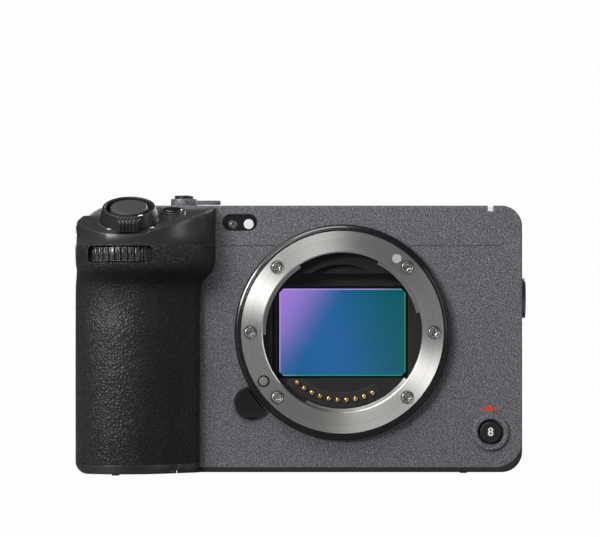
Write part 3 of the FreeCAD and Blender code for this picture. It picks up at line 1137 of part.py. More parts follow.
def main_board():
    x0, x1, z0, z1 = BOARD
    board = box(x0, x1, BOARD_Y, BOARD_Y + BOARD_THICK, z0, z1)
    chips = [box(x - CHIP_HALF, x + CHIP_HALF, BOARD_Y + BOARD_THICK, BOARD_Y + BOARD_THICK + CHIP_THICK,
                 z - CHIP_HALF, z + CHIP_HALF) for x, z in CHIPS]
    front_places = ((FAN_HOUSE_X0 + 3.5, FAN_HOUSE_Z0 + 3.5), (FAN_HOUSE_X0 + 3.5, FAN_HOUSE_Z1 - 3.6))
    front_posts = [cyl_y(x, FAN_HOUSE_Y1 + SEAT, BOARD_Y, z, POST_R) for x, z in front_places]
    rear_places = ((x0 + 6.0, z0 + 3.0), (x1 - 3.0, z0 + 3.0), (x1 - 3.0, z1 - 3.0), (x0 + 12.0, z1 - 3.0))
    rear_posts = [cyl_y(x, BOARD_Y + BOARD_THICK, BODY_REAR - WALL - SEAT, z, POST_R) for x, z in rear_places]
    return fuse(board, *chips, *front_posts, *rear_posts)


def card_slot_unit():
    unit = box(CARD_X0, CARD_X1, CARD_Y0, CARD_Y1, CARD_Z0, CARD_Z1)
    pitch = CARD_SLOT_WIDE + CARD_SLOT_WALL
    for index in range(2):
        y = CARD_Y0 + CARD_SLOT_WALL + pitch * index
        z = (CARD_Z0 + CARD_Z1 - CARD_SLOT_TALL) / 2
        unit = unit.cut(box(CARD_X0 - 1, CARD_X0 + CARD_SLOT_DEEP, y, y + CARD_SLOT_WIDE,
                            z, z + CARD_SLOT_TALL))
    return unit


# Sockets, threads, shoe and window


def port_sockets():
    """Two socket blocks behind the side doors: video and data in front, two round jacks at the back."""
    x1 = BODY_RIGHT - WALL - SEAT
    x0 = x1 - SOCKET_BLOCK_DEEP
    blocks = []
    for y0, y1, z0, z1 in (DATA_DOOR, AUDIO_DOOR):
        y_end = min(y1 + SOCKET_BLOCK_MARGIN, BOARD_Y - SEAT)
        blocks.append(box(x0, x1, y0 - SOCKET_BLOCK_MARGIN, y_end, z0 - SOCKET_BLOCK_MARGIN,
                          z1 - SOCKET_BLOCK_UNDER))
    data, audio = blocks
    y_mid = (DATA_DOOR[0] + DATA_DOOR[1]) / 2
    data = cut(data, box(x1 - VIDEO_DEEP, x1 + 1, y_mid - VIDEO_TALL / 2, y_mid + VIDEO_TALL / 2,
                         VIDEO_Z, VIDEO_Z + VIDEO_WIDE),
               box(x1 - DATA_DEEP, x1 + 1, y_mid - DATA_TALL / 2, y_mid + DATA_TALL / 2,
                   DATA_Z, DATA_Z + DATA_WIDE))
    y_jack = (AUDIO_DOOR[0] + BOARD_Y) / 2
    for z in JACK_HEIGHTS:
        audio = audio.cut(cyl_x(x1 - JACK_DEEP, x1 + 1, y_jack, z, JACK_R))
    return Part.makeCompound([data, audio])


def thread_inserts():
    """Steel bushes with quarter inch threads: three in the top, one on each side."""
    bushes = []
    for x, y in TOP_THREADS:
        bush = cyl_z(x, y, BODY_TOP - THREAD_DEPTH - THREAD_FLOOR, BODY_TOP, INSERT_R)
        bushes.append(bush.cut(cyl_z(x, y, BODY_TOP - THREAD_DEPTH, BODY_TOP + 1, THREAD_R)))
    face = BODY_RIGHT + SIDE_BOSS_STAND
    right = fuse(cyl_x(BODY_RIGHT, face, SIDE_BOSS_Y, SIDE_BOSS_Z, SIDE_BOSS_R),
                 cyl_x(face - INSERT_DEEP, BODY_RIGHT, SIDE_BOSS_Y, SIDE_BOSS_Z, INSERT_R))
    bore = cyl_x(face - THREAD_DEPTH, face + 1, SIDE_BOSS_Y, SIDE_BOSS_Z, THREAD_R)
    bushes.append(right.cut(bore))
    face = BODY_LEFT - LEFT_BOSS_STAND
    left = fuse(cyl_x(face, BODY_LEFT - LEFT_BOSS_BACK, LEFT_BOSS_Y, LEFT_BOSS_Z, LEFT_BOSS_R),
                cyl_x(face, face + INSERT_DEEP, LEFT_BOSS_Y, LEFT_BOSS_Z, INSERT_R))
    bushes.append(left.cut(cyl_x(face - 1, face + THREAD_DEPTH, LEFT_BOSS_Y, LEFT_BOSS_Z, THREAD_R)))
    return Part.makeCompound(bushes)


def accessory_shoe():
    """Steel shoe sunk flush in the top: floor, side walls, and lips over the foot's edges."""
    outer = box(-SHOE_X - SHOE_WALL, SHOE_X + SHOE_WALL, SHOE_Y0 - SHOE_WALL, SHOE_Y1,
                SHOE_FLOOR - SHOE_WALL, BODY_TOP)
    room = box(-SHOE_X, SHOE_X, SHOE_Y0, SHOE_Y1 + 1, SHOE_FLOOR, BODY_TOP - SHOE_WALL)
    way = box(-SHOE_X + SHOE_LIP, SHOE_X - SHOE_LIP, SHOE_Y0 + SHOE_STOP, SHOE_Y1 + 1, SHOE_FLOOR, BODY_TOP + 1)
    return cut(outer, room, way)


def sensor_window():
    window = window_form(0.0, BODY_FRONT + WINDOW_SINK, BODY_FRONT + WINDOW_SINK + WINDOW_THICK)
    for x in OPTICS_X:
        window = window.cut(cyl_y(x, BODY_FRONT - 1, BODY_FRONT + 2, OPTICS_Z, OPTICS_R + SEAT))
    return window


def window_optics():
    return Part.makeCompound([cyl_y(x, BODY_FRONT + 0.25, BODY_FRONT + WALL - WINDOW_SINK, OPTICS_Z, OPTICS_R)
                              for x in OPTICS_X])


def tally_lamp():
    return tally_form(0.0).common(BLOCK)


def record_button_ring():
    ring = cyl_y(RECORD_X, BODY_FRONT - RECORD_RING_STAND, BODY_FRONT, RECORD_Z, RECORD_RING_R)
    rim = [edge for edge in ring.Edges if edge.BoundBox.YMax < BODY_FRONT - RECORD_RING_STAND + 0.01]
    ring = ring.makeFillet(0.35, rim)
    spigot = cyl_y(RECORD_X, BODY_FRONT, BODY_FRONT + RECORD_SPIGOT_DEEP, RECORD_Z, RECORD_SPIGOT_R)
    bore = cyl_y(RECORD_X, BODY_FRONT - 3, BODY_FRONT + 0.5, RECORD_Z, RECORD_RING_HOLE)
    way = cyl_y(RECORD_X, BODY_FRONT - 3, BODY_FRONT + 9, RECORD_Z, RECORD_R + SLIDE)
    return cut(fuse(ring, spigot), bore, way)


def front_record_button():
    button = cyl_y(RECORD_X, BODY_FRONT - RECORD_RING_STAND + 0.1, BODY_FRONT + RECORD_DEEP, RECORD_Z, RECORD_R)
    rim = [edge for edge in button.Edges if edge.BoundBox.YMax < BODY_FRONT - RECORD_RING_STAND + 0.2]
    return button.makeFillet(0.3, rim)


# Controls on the top and the rear


def power_lever():
    hub = cyl_z(POWER_X, POWER_Y, BODY_TOP + SLIDE, LEVER_TOP, POWER_R)
    arm = rounded_plate_z(POWER_X, LEVER_ARM_X, POWER_Y - POWER_ARM_HALF, POWER_Y + POWER_ARM_HALF,
                          LEVER_ARM_LOW, LEVER_ARM_HIGH, POWER_ARM_CORNER)
    stem = cyl_z(POWER_X, POWER_Y, BODY_TOP - POWER_STEM_DEEP, BODY_TOP + SLIDE, POWER_STEM_R)
    recess = cyl_z(POWER_X, POWER_Y, LEVER_TOP - POWER_RECESS, LEVER_TOP + 1, KNOB_R + SLIDE)
    bore = cyl_z(POWER_X, POWER_Y, BODY_TOP - 9, LEVER_TOP + 1, STEM_R + SLIDE)
    return cut(fuse(hub, arm, stem), recess, bore)


def top_record_button():
    knob = cyl_z(POWER_X, POWER_Y, LEVER_TOP - KNOB_SKIRT, LEVER_TOP + KNOB_STAND, KNOB_R)
    rim = [edge for edge in knob.Edges if edge.BoundBox.ZMin > LEVER_TOP + KNOB_STAND - 0.1]
    stem = cyl_z(POWER_X, POWER_Y, BODY_TOP - POWER_STEM_DEEP - 1.0, LEVER_TOP, STEM_R)
    return fuse(knob.makeFillet(KNOB_EDGE, rim), stem)


def top_key(index):
    x, y = TOP_KEYS[index]
    return cyl_z(x, y, BODY_TOP - WALL - KEY_UNDER, BODY_TOP + TOP_KEY_STAND, TOP_KEY_R)


def rear_key(place):
    x, z = place
    return cyl_y(x, BODY_REAR - WALL - KEY_UNDER, BODY_REAR + REAR_KEY_STAND, z, REAR_KEY_R)


def rear_dial():
    wheel = knurled_disc(REAR_DIAL_R, REAR_DIAL_Z1 - REAR_DIAL_Z0, REAR_DIAL_TEETH, DIAL_NOTCH)
    wheel.translate(V(REAR_DIAL_X, REAR_DIAL_Y, REAR_DIAL_Z0))
    return fuse(wheel, cyl_z(REAR_DIAL_X, REAR_DIAL_Y, REAR_DIAL_Z0, REAR_PIN_TOP, DIAL_PIN_R))


def control_wheel():
    wheel = knurled_disc(WHEEL_R, WHEEL_THICK, WHEEL_TEETH, WHEEL_NOTCH)
    wheel.rotate(V(0, 0, 0), V(1, 0, 0), -90)
    wheel.translate(V(WHEEL_X, BODY_REAR + SLIDE, WHEEL_Z))
    stem = cyl_y(WHEEL_X, BODY_REAR - WALL - 0.6, BODY_REAR + SLIDE, WHEEL_Z, WHEEL_STEM_R)
    recess = cyl_y(WHEEL_X, BODY_REAR + WHEEL_FLOOR, BODY_REAR + 9, WHEEL_Z, WHEEL_KEY_R + SLIDE)
    bore = cyl_y(WHEEL_X, BODY_REAR - 9, BODY_REAR + 9, WHEEL_Z, STEM_R + SLIDE)
    return cut(fuse(wheel, stem), recess, bore)


def wheel_button():
    return fuse(cyl_y(WHEEL_X, WHEEL_KEY_Y0, WHEEL_KEY_Y1, WHEEL_Z, WHEEL_KEY_R),
                cyl_y(WHEEL_X, BODY_REAR - WALL - KEY_UNDER, WHEEL_KEY_Y0, WHEEL_Z, STEM_R))


def joystick_gimbal():
    ring = ring_y(STICK_X, STICK_Y - STICK_RING_HALF, STICK_Y + STICK_RING_HALF, STICK_Z, STICK_R, STICK_RING_R)
    pins = cyl_x(STICK_X - STICK_PIN_REACH, STICK_X + STICK_PIN_REACH, STICK_Y, STICK_Z, STICK_PIN_R)
    return fuse(ring, pins.cut(cyl_y(STICK_X, 0, 99, STICK_Z, STICK_RING_R)))


def joystick_cap():
    stem = cyl_y(STICK_X, STICK_Y - STICK_RING_HALF, STICK_CAP_Y0 + SEAT, STICK_Z, STICK_STEM_R)
    cap = cyl_y(STICK_X, STICK_CAP_Y0, STICK_CAP_Y1, STICK_Z, STICK_CAP_R)
    pins = cyl_z(STICK_X, STICK_Y, STICK_Z - STICK_RING_R + SLIDE, STICK_Z + STICK_RING_R - SLIDE, STICK_PIN_R)
    return fuse(stem, cap, pins)


def monitor_arm():
    x_in = SCREEN_X1 - ARM_REACH
    return fuse(box(x_in, HINGE_X, HINGE_Y - ARM_HALF, HINGE_Y + ARM_HALF, HINGE_Z0, HINGE_Z1),
                cyl_z(HINGE_X, HINGE_Y, HINGE_Z0, HINGE_Z1, HINGE_R),
                cyl_z(HINGE_X, HINGE_Y, HINGE_Z0 - HINGE_PIN_LONG, HINGE_Z1 + HINGE_PIN_LONG, HINGE_PIN_R))


def monitor_shell():
    shell = rounded_plate_y(SCREEN_X0, SCREEN_X1, SCREEN_Y0, SCREEN_Y1, SCREEN_Z0, SCREEN_Z1, SCREEN_CORNER)
    slot = box(SCREEN_X1 - ARM_REACH - SEAT, SCREEN_X1 + 1, HINGE_Y - ARM_HALF - SEAT,
               HINGE_Y + ARM_HALF + SEAT, HINGE_Z0 - SEAT, HINGE_Z1 + SEAT)
    return cut(shell, slot, screen_form(SEAT))


def screen_form(extra):
    """The glass, or with an extra the pocket that it sits in, which is open behind."""
    y1 = SCREEN_Y1 + 1.0 if extra else SCREEN_Y1 - GLASS_SINK
    return rounded_plate_y(SCREEN_X0 + GLASS_MARGIN - extra, SCREEN_X1 - GLASS_MARGIN_RIGHT + extra,
                           SCREEN_Y1 - GLASS_SINK - GLASS_THICK - extra, y1, SCREEN_Z0 + GLASS_MARGIN - extra,
                           SCREEN_Z1 - GLASS_MARGIN + extra, GLASS_CORNER)


def monitor_screen():
    return screen_form(0.0)


PIECES = {
    "front_cover": front_cover, "top_cover": top_cover, "rear_cover": rear_cover, "base_plate": base_plate,
    "side_cover": side_cover, "tripod_socket": tripod_socket, "chassis_frame": chassis_frame,
    "mount_base_ring": mount_base_ring, "lens_mount_ring": lens_mount_ring, "mount_screws": mount_screws,
    "mount_index_dot": mount_index_dot, "lens_lock_pin": lens_lock_pin, "lens_release_button": release_button,
    "contact_block": contact_block, "contact_pins": contact_pins, "light_box": light_box,
    "shutter_unit": shutter_unit, "image_sensor": image_sensor, "sensor_carrier": sensor_carrier,
    "stabiliser_stage": stabiliser_stage, "heat_sink": heat_sink, "fan_housing": fan_housing,
    "fan_rotor": fan_rotor, "main_board": main_board, "card_slot_unit": card_slot_unit,
    "port_sockets": port_sockets, "thread_inserts": thread_inserts, "accessory_shoe": accessory_shoe,
    "sensor_window": sensor_window, "window_optics": window_optics, "tally_lamp": tally_lamp,
    "record_button_ring": record_button_ring, "front_record_button": front_record_button,
    "grip_skin": grip_skin, "grip_frame": grip_frame, "grip_top_cover": grip_top_cover,
    "battery": battery, "battery_door": battery_door, "door_latch": door_latch, "card_door": card_door,
    "shutter_button": shutter_button, "zoom_lever": zoom_lever, "custom_button": custom_button,
    "front_dial": front_dial, "power_lever": power_lever, "top_record_button": top_record_button,
    "rear_dial": rear_dial, "control_wheel": control_wheel, "wheel_button": wheel_button,
    "joystick_gimbal": joystick_gimbal, "joystick_cap": joystick_cap,
    "monitor_arm": monitor_arm, "monitor_shell": monitor_shell, "monitor_screen": monitor_screen,
}

for name, make in PIECES.items():
    save(name, make())
save("data_port_door", side_door(DATA_DOOR))
save("audio_port_door", side_door(AUDIO_DOOR))
save("top_key_left", top_key(0))
save("top_key_right", top_key(1))
save("menu_button", rear_key(MENU_KEY))
save("playback_button", rear_key(PLAY_KEY))
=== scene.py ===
# %% [markdown]
# # A compact digital cinema camera, dressed for its portrait
# The camera body is seen straight from the front: dark speckled metal, a black
# leather grip with its controls, and a steel lens mount with the sensor behind it.
# The working model of its pieces is loaded first as a fixed frame. Every piece made
# here sits in that frame, in metres, with +Z up and the lens mount facing -Y.

# %% Load the frame
import math
import bmesh
import bpy
from mathutils import Matrix, Vector


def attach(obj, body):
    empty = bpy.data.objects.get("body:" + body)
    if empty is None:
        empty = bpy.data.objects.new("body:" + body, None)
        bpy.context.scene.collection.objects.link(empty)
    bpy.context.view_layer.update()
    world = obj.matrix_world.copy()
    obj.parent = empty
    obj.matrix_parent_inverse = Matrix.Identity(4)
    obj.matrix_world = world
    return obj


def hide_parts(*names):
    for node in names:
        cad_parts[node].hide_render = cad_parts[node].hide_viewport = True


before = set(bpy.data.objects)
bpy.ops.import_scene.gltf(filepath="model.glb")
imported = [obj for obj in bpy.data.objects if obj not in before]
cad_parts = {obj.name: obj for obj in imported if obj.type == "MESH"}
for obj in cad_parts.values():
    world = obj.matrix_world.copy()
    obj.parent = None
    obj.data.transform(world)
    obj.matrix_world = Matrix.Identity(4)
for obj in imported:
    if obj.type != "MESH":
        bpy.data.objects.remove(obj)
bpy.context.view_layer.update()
MM = 0.001

# %% [markdown]
# ## Small helpers
# Paper, air and finishes are all built from shader nodes. These helpers keep that
# readable: `fill` links an input that is given a socket and sets any other input,
# `add` places a node and fills it, `calc` and `vector_calc` do one step of arithmetic.

# %% Node helpers
WHITE = (1.0, 1.0, 1.0, 1.0)


def show(name, data):
    """Object of this mesh, lamp, curve or camera, placed in the scene."""
    item = bpy.data.objects.new(name, data)
    bpy.context.scene.collection.objects.link(item)
    return item


def feed(tree, socket, value):
    """Link a value that is a socket; set any other value."""
    if isinstance(value, bpy.types.NodeSocket):
        tree.links.new(value, socket)
    else:
        socket.default_value = value


def fill(tree, node, **inputs):
    """Feed a node's inputs. A keyword names one: underscores stand for spaces, in1 for place 1."""
    for label, value in inputs.items():
        place = label[2:] if label.startswith("in") else ""
        feed(tree, node.inputs[int(place) if place.isdigit() else label.replace("_", " ")], value)
    return node


def add(tree, kind, **inputs):
    return fill(tree, tree.nodes.new("ShaderNode" + kind), **inputs)


def operate(tree, kind, operation, values):
    node = add(tree, kind)
    node.operation = operation
    for socket, value in zip(node.inputs, values):
        feed(tree, socket, value)
    return node.outputs


def calc(tree, operation, *values):
    """One step of arithmetic; returns its value socket."""
    return operate(tree, "Math", operation, values)[0]


def vector_calc(tree, operation, *values, output="Vector"):
    """One step of vector arithmetic; returns a socket."""
    return operate(tree, "VectorMath", operation, values)[output]


def new_finish(name):
    material = bpy.data.materials.new(name)
    material.use_nodes = True
    tree = material.node_tree
    return material, tree, tree.nodes["Principled BSDF"]


# %% [markdown]
# ## Camera and room
# The photograph was taken from far away, on the lens mount's own axis, so a long lens
# looks straight along +Y. A small lens shift sets the picture frame off that axis:
# turning the camera would have made the body's edges lean.

# %% Camera
AXIS_HEIGHT = 41.0 * MM
FLANGE_Y = -26.0 * MM
CAMERA_DISTANCE = 1.2
SENSOR_WIDTH = 36.0
FOCAL_LENGTH = 249.0
VIEW_END = 20.0
PHOTO_WIDE = 600
AXIS_PIXEL_X, AXIS_PIXEL_Y = 342.4, 332.3
PHOTO_MIDDLE_X, PHOTO_MIDDLE_Y = 300.0, 268.5


def make_camera():
    data = bpy.data.cameras.new("portrait_camera")
    data.sensor_width = SENSOR_WIDTH
    data.lens = FOCAL_LENGTH
    data.shift_x = -(AXIS_PIXEL_X - PHOTO_MIDDLE_X) / PHOTO_WIDE
    data.shift_y = (AXIS_PIXEL_Y - PHOTO_MIDDLE_Y) / PHOTO_WIDE
    data.clip_end = VIEW_END
    camera = show("portrait_camera", data)
    camera.location = (0.0, FLANGE_Y - CAMERA_DISTANCE, AXIS_HEIGHT)
    camera.rotation_euler = (math.radians(90.0), 0.0, 0.0)
    bpy.context.scene.camera = camera
    return camera


camera = make_camera()
bpy.context.scene.view_settings.view_transform = "Standard"
print("camera at", [round(value, 3) for value in camera.location])

# %% [markdown]
# The body stands on a pale floor that runs up into a pale wall. A real sweep of paper
# would do this; here one bent sheet does, drawn as a side view and given a width.

# %% Floor
FLOOR_REACH = 9.0
WALL_TOP = 6.0
SWEEP_RADIUS = 0.8
SWEEP_STEPS = 12


def sweep_profile():
    """Side view of the floor, its round corner and the wall, as (y, z) pairs."""
    points = [(-FLOOR_REACH, 0.0)]
    for step in range(SWEEP_STEPS + 1):
        turn = math.radians(90.0) * step / SWEEP_STEPS
        y = FLOOR_REACH - SWEEP_RADIUS + SWEEP_RADIUS * math.sin(turn)
        points.append((y, SWEEP_RADIUS - SWEEP_RADIUS * math.cos(turn)))
    return points + [(FLOOR_REACH, WALL_TOP)]


def make_floor():
    profile = sweep_profile()
    verts = [(x, y, z) for x in (-FLOOR_REACH, FLOOR_REACH) for y, z in profile]
    count = len(profile)
    faces = [(i, count + i, count + i + 1, i + 1) for i in range(count - 1)]
    mesh = bpy.data.meshes.new("paper_sweep")
    mesh.from_pydata(verts, [], faces)
    mesh.shade_smooth()
    floor = show("paper_sweep", mesh)
    return floor


floor = make_floor()
print("floor faces:", len(floor.data.polygons))

# %% [markdown]
# The paper should look white and even, with a soft shadow under the body. Its material
# mixes grey paper with a glow that only camera rays see, so reflections and bounced
# light still meet plain paper and the camera's black parts stay black. Seen from its
# back the paper is clear, so that it hides nothing from a camera below it.

# %% Paper material
PAPER_TONE = (0.22, 0.22, 0.22, 1.0)
GLOW_SHARE = 0.99


def paper_material():
    material, tree, paper = new_finish("pale_paper")
    fill(tree, paper, Base_Color=PAPER_TONE, Roughness=0.9)
    glow = add(tree, "Emission", Color=WHITE)
    seen = calc(tree, "MULTIPLY", add(tree, "LightPath").outputs["Is Camera Ray"], GLOW_SHARE)
    front = add(tree, "MixShader", Fac=seen, in1=paper.outputs[0], in2=glow.outputs[0])
    clear = add(tree, "BsdfTransparent")
    behind = add(tree, "NewGeometry").outputs["Backfacing"]
    both = add(tree, "MixShader", Fac=behind, in1=front.outputs[0], in2=clear.outputs[0])
    fill(tree, tree.nodes["Material Output"], Surface=both.outputs[0])
    return material


floor.data.materials.append(paper_material())

# %% [markdown]
# ## Light
# The dark body keeps its shape only through what it reflects. The key soft box stands
# high on the front left: it draws the bright fans on the turned steel ring. A strip on
# the right lifts the far edge, a strip above lights the top faces, and a large box
# behind shows the rear. The world adds a little even grey, and is white to the camera.

# %% Lamps and world
LIGHT_AIM = Vector((-0.01, 0.0, AXIS_HEIGHT))
AIR_LEVEL = 0.05
LAMPS = (
    ("key_box", (-0.82, -1.05, 0.46), (0.34, 0.34), 13.0),
    ("right_strip", (1.0, -0.3, 0.3), (0.25, 0.9), 4.0),
    ("top_strip", (-0.25, -0.22, 0.46), (0.7, 0.2), 3.8),
    ("rear_box", (0.75, 1.1, 0.8), (0.9, 0.9), 26.0),
)


def soft_box(name, place, size, power):
    data = bpy.data.lights.new(name, "AREA")
    data.shape = "RECTANGLE"
    data.size, data.size_y = size
    data.energy = power
    lamp = show(name, data)
    lamp.location = place
    lamp.rotation_euler = (LIGHT_AIM - Vector(place)).to_track_quat("-Z", "Y").to_euler()


def make_world():
    world = bpy.data.worlds.new("studio_air")
    world.use_nodes = True
    tree = world.node_tree
    level = calc(tree, "MAXIMUM", add(tree, "LightPath").outputs["Is Camera Ray"], AIR_LEVEL)
    fill(tree, tree.nodes["Background"], Color=WHITE, Strength=level)
    bpy.context.scene.world = world


for lamp in LAMPS:
    soft_box(*lamp)
make_world()
print("lamps:", len(LAMPS))

# %% [markdown]
# ## Finishes
# Each finish is built from nodes, so it holds at any distance. Effects that finishes
# share are node groups with named sockets. More helpers open a group, place one, read
# the position, and shape or mix values.

# %% Group helpers


def open_group(name, inputs, outputs):
    """New shader group. inputs: a default for each name; outputs: a kind for each name."""
    tree = bpy.data.node_groups.new(name, "ShaderNodeTree")
    for label, default in inputs.items():
        kind = {4: "Color", 3: "Vector"}[len(default)] if isinstance(default, tuple) else "Float"
        socket = tree.interface.new_socket(name=label, in_out="INPUT", socket_type="NodeSocket" + kind)
        socket.default_value = default
    for label, kind in outputs.items():
        tree.interface.new_socket(name=label, in_out="OUTPUT", socket_type="NodeSocket" + kind)
    return tree, tree.nodes.new("NodeGroupInput").outputs, tree.nodes.new("NodeGroupOutput")


def use(tree, group, **inputs):
    """Place a group in a material; returns its outputs."""
    node = tree.nodes.new("ShaderNodeGroup")
    node.node_tree = group
    return fill(tree, node, **inputs).outputs


def place_here(tree):
    """Position in the frame, in metres: every object sits at the frame's origin."""
    return add(tree, "TexCoord").outputs["Object"]


def place_parts(tree):
    return add(tree, "SeparateXYZ", Vector=place_here(tree)).outputs


def noise_here(tree, scale, detail, roughness=0.5):
    node = add(tree, "TexNoise", Vector=place_here(tree), Scale=scale, Detail=detail, Roughness=roughness)
    return node.outputs["Fac"]


def ramp(tree, value, stops):
    """Colour ramp through (place, grey) stops; returns its colour socket."""
    node = add(tree, "ValToRGB", Fac=value)
    for element, (place, level) in zip(node.color_ramp.elements, stops):
        element.position = place
        element.color = grey(level)
    return node.outputs["Color"]


def blend_colors(tree, share, first, second):
    """Colour mix; a number stands for a grey. Returns the colour socket."""
    node = tree.nodes.new("ShaderNodeMix")
    node.data_type = "RGBA"
    first, second = [grey(tone) if isinstance(tone, float) else tone for tone in (first, second)]
    return fill(tree, node, in0=share, in6=first, in7=second).outputs[2]


def eased(tree, value, low, high):
    """0 at low, 1 at high, smooth between; low may be the larger one."""
    node = add(tree, "MapRange", Value=value, From_Min=min(low, high), From_Max=max(low, high))
    node.interpolation_type = "SMOOTHSTEP"
    return fill(tree, node, To_Min=float(low > high), To_Max=float(low < high)).outputs["Result"]


def grey(level, blue=0.0):
    return (level, level, level + blue, 1.0)


# %% [markdown]
# ### Speckled paint
# The body's paint is dark grey with light flecks a third of a millimetre wide. A fine
# noise makes the flecks, a finer one breaks their edges, and the same value lifts the
# surface a hair, so grazing light catches the grain.

# %% Speckle group


def speckle_group():
    tree, given, result = open_group(
        "speckled_paint", {"Base": grey(0.09), "Fleck": grey(0.2), "Pit": grey(0.05), "Scale": 2600.0},
        {"Color": "Color", "Height": "Float"})
    grain = noise_here(tree, given["Scale"], 2.0, 0.7)
    fine = noise_here(tree, 5200.0, 1.0)
    both = calc(tree, "ADD", calc(tree, "MULTIPLY", grain, 0.75), calc(tree, "MULTIPLY", fine, 0.25))
    light = ramp(tree, both, ((0.50, 0.0), (0.66, 1.0)))
    dark = ramp(tree, both, ((0.36, 1.0), (0.48, 0.0)))
    pitted = blend_colors(tree, dark, given["Base"], given["Pit"])
    fill(tree, result, Color=blend_colors(tree, light, pitted, given["Fleck"]), Height=both)
    return tree


SPECKLE = speckle_group()
print("groups so far:", len(bpy.data.node_groups))

# %% [markdown]
# ### Moulded grain, worn and glinting edges, and smudges
# Black plastic is never one flat black. Spark-eroded moulds leave a fine grain, fingers polish the edges,
# and skin leaves smudges that change the gloss. The edge mask compares the true normal with one rounded
# over a few tenths of a millimetre: they differ only near an edge, whatever the mesh looks like. Finishes
# whose edge colour is very pale use the same mask to paint glints and highlights along their edges, on
# top of the wear.

# %% Grain, edge and smudge groups
EDGE_GAIN = 4.0


def grain_group():
    tree, given, result = open_group("moulded_grain", {"Scale": 3000.0}, {"Height": "Float"})
    fill(tree, result, Height=noise_here(tree, given["Scale"], 3.0))
    return tree


def edge_group():
    tree, given, result = open_group("worn_edge", {"Radius": 0.0004, "Strength": 1.0}, {"Mask": "Float"})
    rounded = add(tree, "Bevel", Radius=given["Radius"]).outputs["Normal"]
    true = add(tree, "NewGeometry").outputs["Normal"]
    apart = calc(tree, "SUBTRACT", 1.0, vector_calc(tree, "DOT_PRODUCT", rounded, true, output="Value"))
    worn = calc(tree, "MULTIPLY", calc(tree, "MULTIPLY", apart, EDGE_GAIN), noise_here(tree, 420.0, 4.0))
    strong = calc(tree, "MULTIPLY", worn, given["Strength"])
    fill(tree, result, Mask=calc(tree, "MINIMUM", strong, 1.0))
    return tree


def smudge_group():
    tree, given, result = open_group("smudges", {"Low": 0.4, "High": 0.55}, {"Roughness": "Float"})
    spread = calc(tree, "SUBTRACT", given["High"], given["Low"])
    broad = noise_here(tree, 60.0, 5.0, 0.6)
    fill(tree, result, Roughness=calc(tree, "MULTIPLY_ADD", broad, spread, given["Low"]))
    return tree


GRAIN = grain_group()
EDGE = edge_group()
SMUDGE = smudge_group()

# %% [markdown]
# ### Leather and turned metal
# The grip's cover is moulded like pebbled leather: rounded islands about a millimetre
# wide with soft creases between them. Voronoi cells, bent by noise so that no crease is
# straight, give the islands. The mount's steel was turned on a lathe and satin brushed
# in circles, so its fine lines depend only on the distance from the turning axis.

# %% Leather and turned-metal groups
DRIFT = (0.0011, 0.0011, 0.0011)
NOISE_MIDDLE = (0.5, 0.5, 0.5)
CELL_ROUNDING = 0.35
OPTICAL_DIRECTION = (0.0, 1.0, 0.0)


def leather_group():
    tree, given, result = open_group(
        "pebbled_leather", {"Scale": 900.0}, {"Height": "Float", "Crease": "Float"})
    where = place_here(tree)
    drift = add(tree, "TexNoise", Vector=where, Scale=450.0, Detail=2.0).outputs["Color"]
    offset = vector_calc(tree, "SUBTRACT", drift, NOISE_MIDDLE)
    bent = vector_calc(tree, "MULTIPLY_ADD", offset, DRIFT, where)
    cells = add(tree, "TexVoronoi", Vector=bent, Scale=given["Scale"])
    cells.feature = "SMOOTH_F1"
    fill(tree, cells, Smoothness=CELL_ROUNDING)
    walls = add(tree, "TexVoronoi", Vector=bent, Scale=given["Scale"])
    walls.feature = "DISTANCE_TO_EDGE"
    dome = calc(tree, "SUBTRACT", 1.0, cells.outputs["Distance"])
    rise = ramp(tree, walls.outputs["Distance"], ((0.0, 0.0), (0.28, 1.0)))
    height = calc(tree, "MULTIPLY", dome, rise)
    rough = calc(tree, "MULTIPLY_ADD", noise_here(tree, 4200.0, 2.0), 0.10, height)
    crease = ramp(tree, walls.outputs["Distance"], ((0.0, 1.0), (0.12, 0.0)))
    fill(tree, result, Height=rough, Crease=crease)
    return tree


def turned_group():
    tree, given, result = open_group(
        "turned_metal", {"Centre": (0.0, 0.0, 0.0), "Across": (1.0, 0.0, 1.0), "Scale": 9000.0},
        {"Height": "Float", "Streak": "Float", "Around": "Vector"})
    away = vector_calc(tree, "SUBTRACT", place_here(tree), given["Centre"])
    flat = vector_calc(tree, "MULTIPLY", away, given["Across"])
    radius = vector_calc(tree, "LENGTH", flat, output="Value")
    line = add(tree, "CombineXYZ", X=radius).outputs["Vector"]
    lines = add(tree, "TexNoise", Vector=line, Scale=given["Scale"], Detail=3.0)
    bands = add(tree, "TexNoise", Vector=line, Scale=1100.0, Detail=2.0)
    around = vector_calc(tree, "CROSS_PRODUCT", flat, OPTICAL_DIRECTION)
    fill(tree, result, Height=lines.outputs["Fac"], Streak=bands.outputs["Fac"],
         Around=vector_calc(tree, "NORMALIZE", around))
    return tree


LEATHER = leather_group()
TURNED = turned_group()
print("groups:", [group.name for group in bpy.data.node_groups])

# %% [markdown]
# ### From groups to finishes
# A finish is a Principled shader with a few groups plugged in. What never changes over
# the surface, such as metallic or coat, is set on the shader's own socket. In a recipe
# a plain number stands for a grey.

# %% Finish helpers


def smudged(tree, low, high):
    return use(tree, SMUDGE, Low=low, High=high)["Roughness"]


def worn(tree, tone, bright, **edge):
    """Colour that turns bright at edges: wear, and a painted highlight where the bright colour is very
    pale; keywords go to the edge group.
    """
    return blend_colors(tree, use(tree, EDGE, **edge)["Mask"], tone, bright)


def bump(tree, height, strength, distance):
    """Normal of a small relief; distance is in metres."""
    return add(tree, "Bump", Strength=strength, Distance=distance, Height=height).outputs["Normal"]


